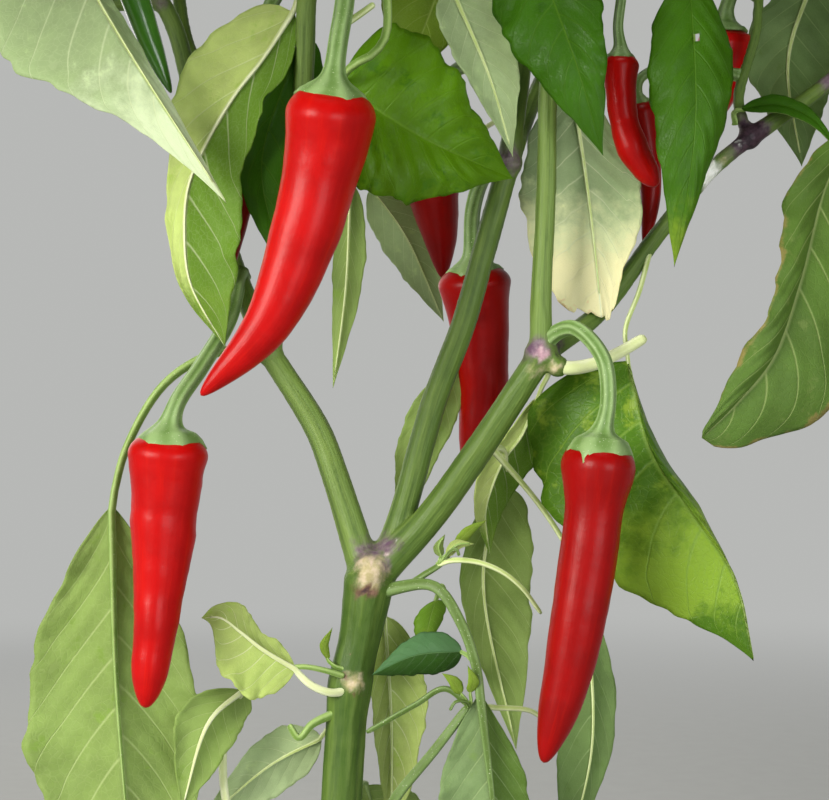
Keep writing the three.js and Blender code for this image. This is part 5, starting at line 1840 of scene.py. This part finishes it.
def small_pod(dice, top, length, radius):
    """A hanging pod: (stalk line, pod rings)."""
    lean = sideways(dice, POD_LEAN, -1.0)
    drop = top + sideways(dice, 3, -15.0)
    curl = sideways(dice, POD_CURL, 0.0) * length
    hang = [drop + lean * length * down + curl * aside for down, aside in ((0.35, 0), (0.7, 0.4), (1, 1))]
    line = smooth_line([drop, *hang], POD_STEPS)
    skin = ring_places(line, radius * pod_share(np.linspace(0, 1, POD_STEPS), 0.7), 14)
    out = top + sideways(dice, 5, 3.0)
    stalk = smooth_line([top, out, drop + (0, 0, 5.0), drop + (0, 0, 1.0)], NECK_STEPS)
    return stalk, skin


twig_sheet, ripe_sheet, green_sheet, cap_sheet, bud_sheet = (Sheet() for _ in range(5))
dice = np.random.default_rng(POD_SEED)
for mass, (nodes, twigs) in crown.items():
    middle, reach = (MASSES | BETWEEN)[mass][:2]
    most = MOST_PODS if mass in MASSES else MOST_PODS_BETWEEN
    lowest, highest = [middle[2] + share * reach[2] for share in POD_HEIGHTS]
    for line, first, last in twigs:
        twig_sheet.add(ring_places(line, np.linspace(first, last, len(line)), 6), 0)
    number = 0
    for pick in dice.permutation(len(nodes)):
        place = nodes[pick][0]
        length = dice.uniform(*POD_LENGTHS)
        radius = length * dice.uniform(*POD_THICKNESS)
        stalk, skin = small_pod(dice, place, length, radius)
        if number == most or not lowest <= place[2] <= highest or in_the_open(skin):
            continue
        number += 1
        (green_sheet if number == 3 else ripe_sheet).add(skin, 0)
        neck = np.interp(np.linspace(0, 1, NECK_STEPS), [0, 0.7, 0.88, 1], [1.2, 1.4, 2.4, 0.66 * radius])
        cap_sheet.add(ring_places(stalk, neck, 8), 0)
    for place, heading, _ in nodes[::2]:
        for _ in range(2):
            tip = place + unit(heading + dice.normal(size=3) * 0.7) * dice.uniform(*BUD_REACH)
            bend = [place, (place + tip) / 2 + (0, 0, 1.5), tip, tip - (0, 0, 4.0)]
            bud_sheet.add(ring_places(smooth_line(bend, len(BUD_RADII)), BUD_RADII, 6), 0)

CROWN_SHEETS = {
    "crown_twigs": (twig_sheet, STALKS["green"], "bough_skin"),
    "crown_pods_ripe": (ripe_sheet, ripe_skin, "pod_skin"),
    "crown_pods_unripe": (green_sheet, unripe_skin, "unripe_pod_skin"),
    "crown_pod_stalks": (cap_sheet, STALKS["pod"], "stalk_skin"),
    "crown_buds": (bud_sheet, crown_greens[3], "foliage"),
}
for name, (sheet, material, slot) in CROWN_SHEETS.items():
    print(name, triangles(hand_in(sheet.piece(name, [material]))), "triangles")

# %% [markdown]
# ## Floor and light
# The floor is plain and pale. Far from the plant it takes on the colour of the surroundings, so that no
# line shows where it ends. A large soft lamp stands in front, up and to the left. One above lights the
# crown, a weaker one fills the right, and one behind lets the thin leaves glow.

# %% Floor
SURROUND = (0.82, 0.83, 0.81)
HORIZON_STRENGTH = 0.58
ZENITH_STRENGTH = 0.3
FLOOR_SHADES = ((0.3, 0.303, 0.297), (0.33, 0.333, 0.327))
FLOOR_FADE = (0.7, 2.2)
SKY_FADE = (0.25, 0.8)


def make_floor():
    """A wide pale floor that fades into the surroundings."""
    bpy.ops.object.select_all(action="DESELECT")
    bpy.ops.mesh.primitive_grid_add(x_subdivisions=8, y_subdivisions=8, size=30)
    floor = bpy.context.object
    floor.name = "floor"
    material, tree, shader = new_material("floor", specular=0.2)
    spot = coordinates(tree)["Object"]
    away = add_node(tree, "ShaderNodeVectorMath", {0: spot}, operation="LENGTH").outputs["Value"]
    tree.links.new(blend_colour(tree, noise(tree, spot, 60.0), *FLOOR_SHADES), shader.inputs["Base Color"])
    shader.inputs["Roughness"].default_value = 0.8
    far = add_node(tree, "ShaderNodeEmission", {"Color": (*SURROUND, 1), "Strength": HORIZON_STRENGTH})
    mix_surface(tree, mask(tree, away, *FLOOR_FADE), shader, far)
    floor.data.materials.append(material)


make_floor()

# %% Light
MIDDLE_OF_PLANT = (0.02, 0.0, 0.32)
LAMPS = {
    "key lamp": ((-1.15, -1.15, 0.86), 0.8, 40, (1.0, 0.97, 0.9)),
    "top lamp": ((0.15, -0.3, 1.8), 0.7, 17, (1.0, 0.99, 0.94)),
    "fill lamp": ((0.75, -1.45, 0.5), 0.8, 12, (0.97, 0.98, 1.0)),
    "back lamp": ((-0.5, 1.25, 0.95), 1.4, 9, (1.0, 0.98, 0.92)),
}


def add_lamp(name, place, size, power, colour):
    """A square soft lamp that looks at the middle of the plant."""
    bpy.ops.object.light_add(type="AREA", location=place)
    lamp = bpy.context.object
    lamp.name = name
    lamp.data.size = size
    lamp.data.energy = power
    lamp.data.color = colour
    away = np.array(place) - np.array(MIDDLE_OF_PLANT)
    lamp.rotation_euler = (
        math.atan2(math.hypot(away[0], away[1]), away[2]), 0, math.atan2(away[1], away[0]) + math.pi / 2)


for lamp, form in LAMPS.items():
    add_lamp(lamp, *form)
world = bpy.data.worlds.new("surroundings")
world.use_nodes = True
tree = world.node_tree
way = coordinates(tree)["Generated"]
rise = add_node(tree, "ShaderNodeSeparateXYZ", {"Vector": way}).outputs["Z"]
fall = times(tree, mask(tree, rise, *SKY_FADE), HORIZON_STRENGTH - ZENITH_STRENGTH)
strength = sums(tree, "SUBTRACT", HORIZON_STRENGTH, fall)
fill_inputs(tree, tree.nodes["Background"], {"Color": (*SURROUND, 1), "Strength": strength})
bpy.context.scene.world = world
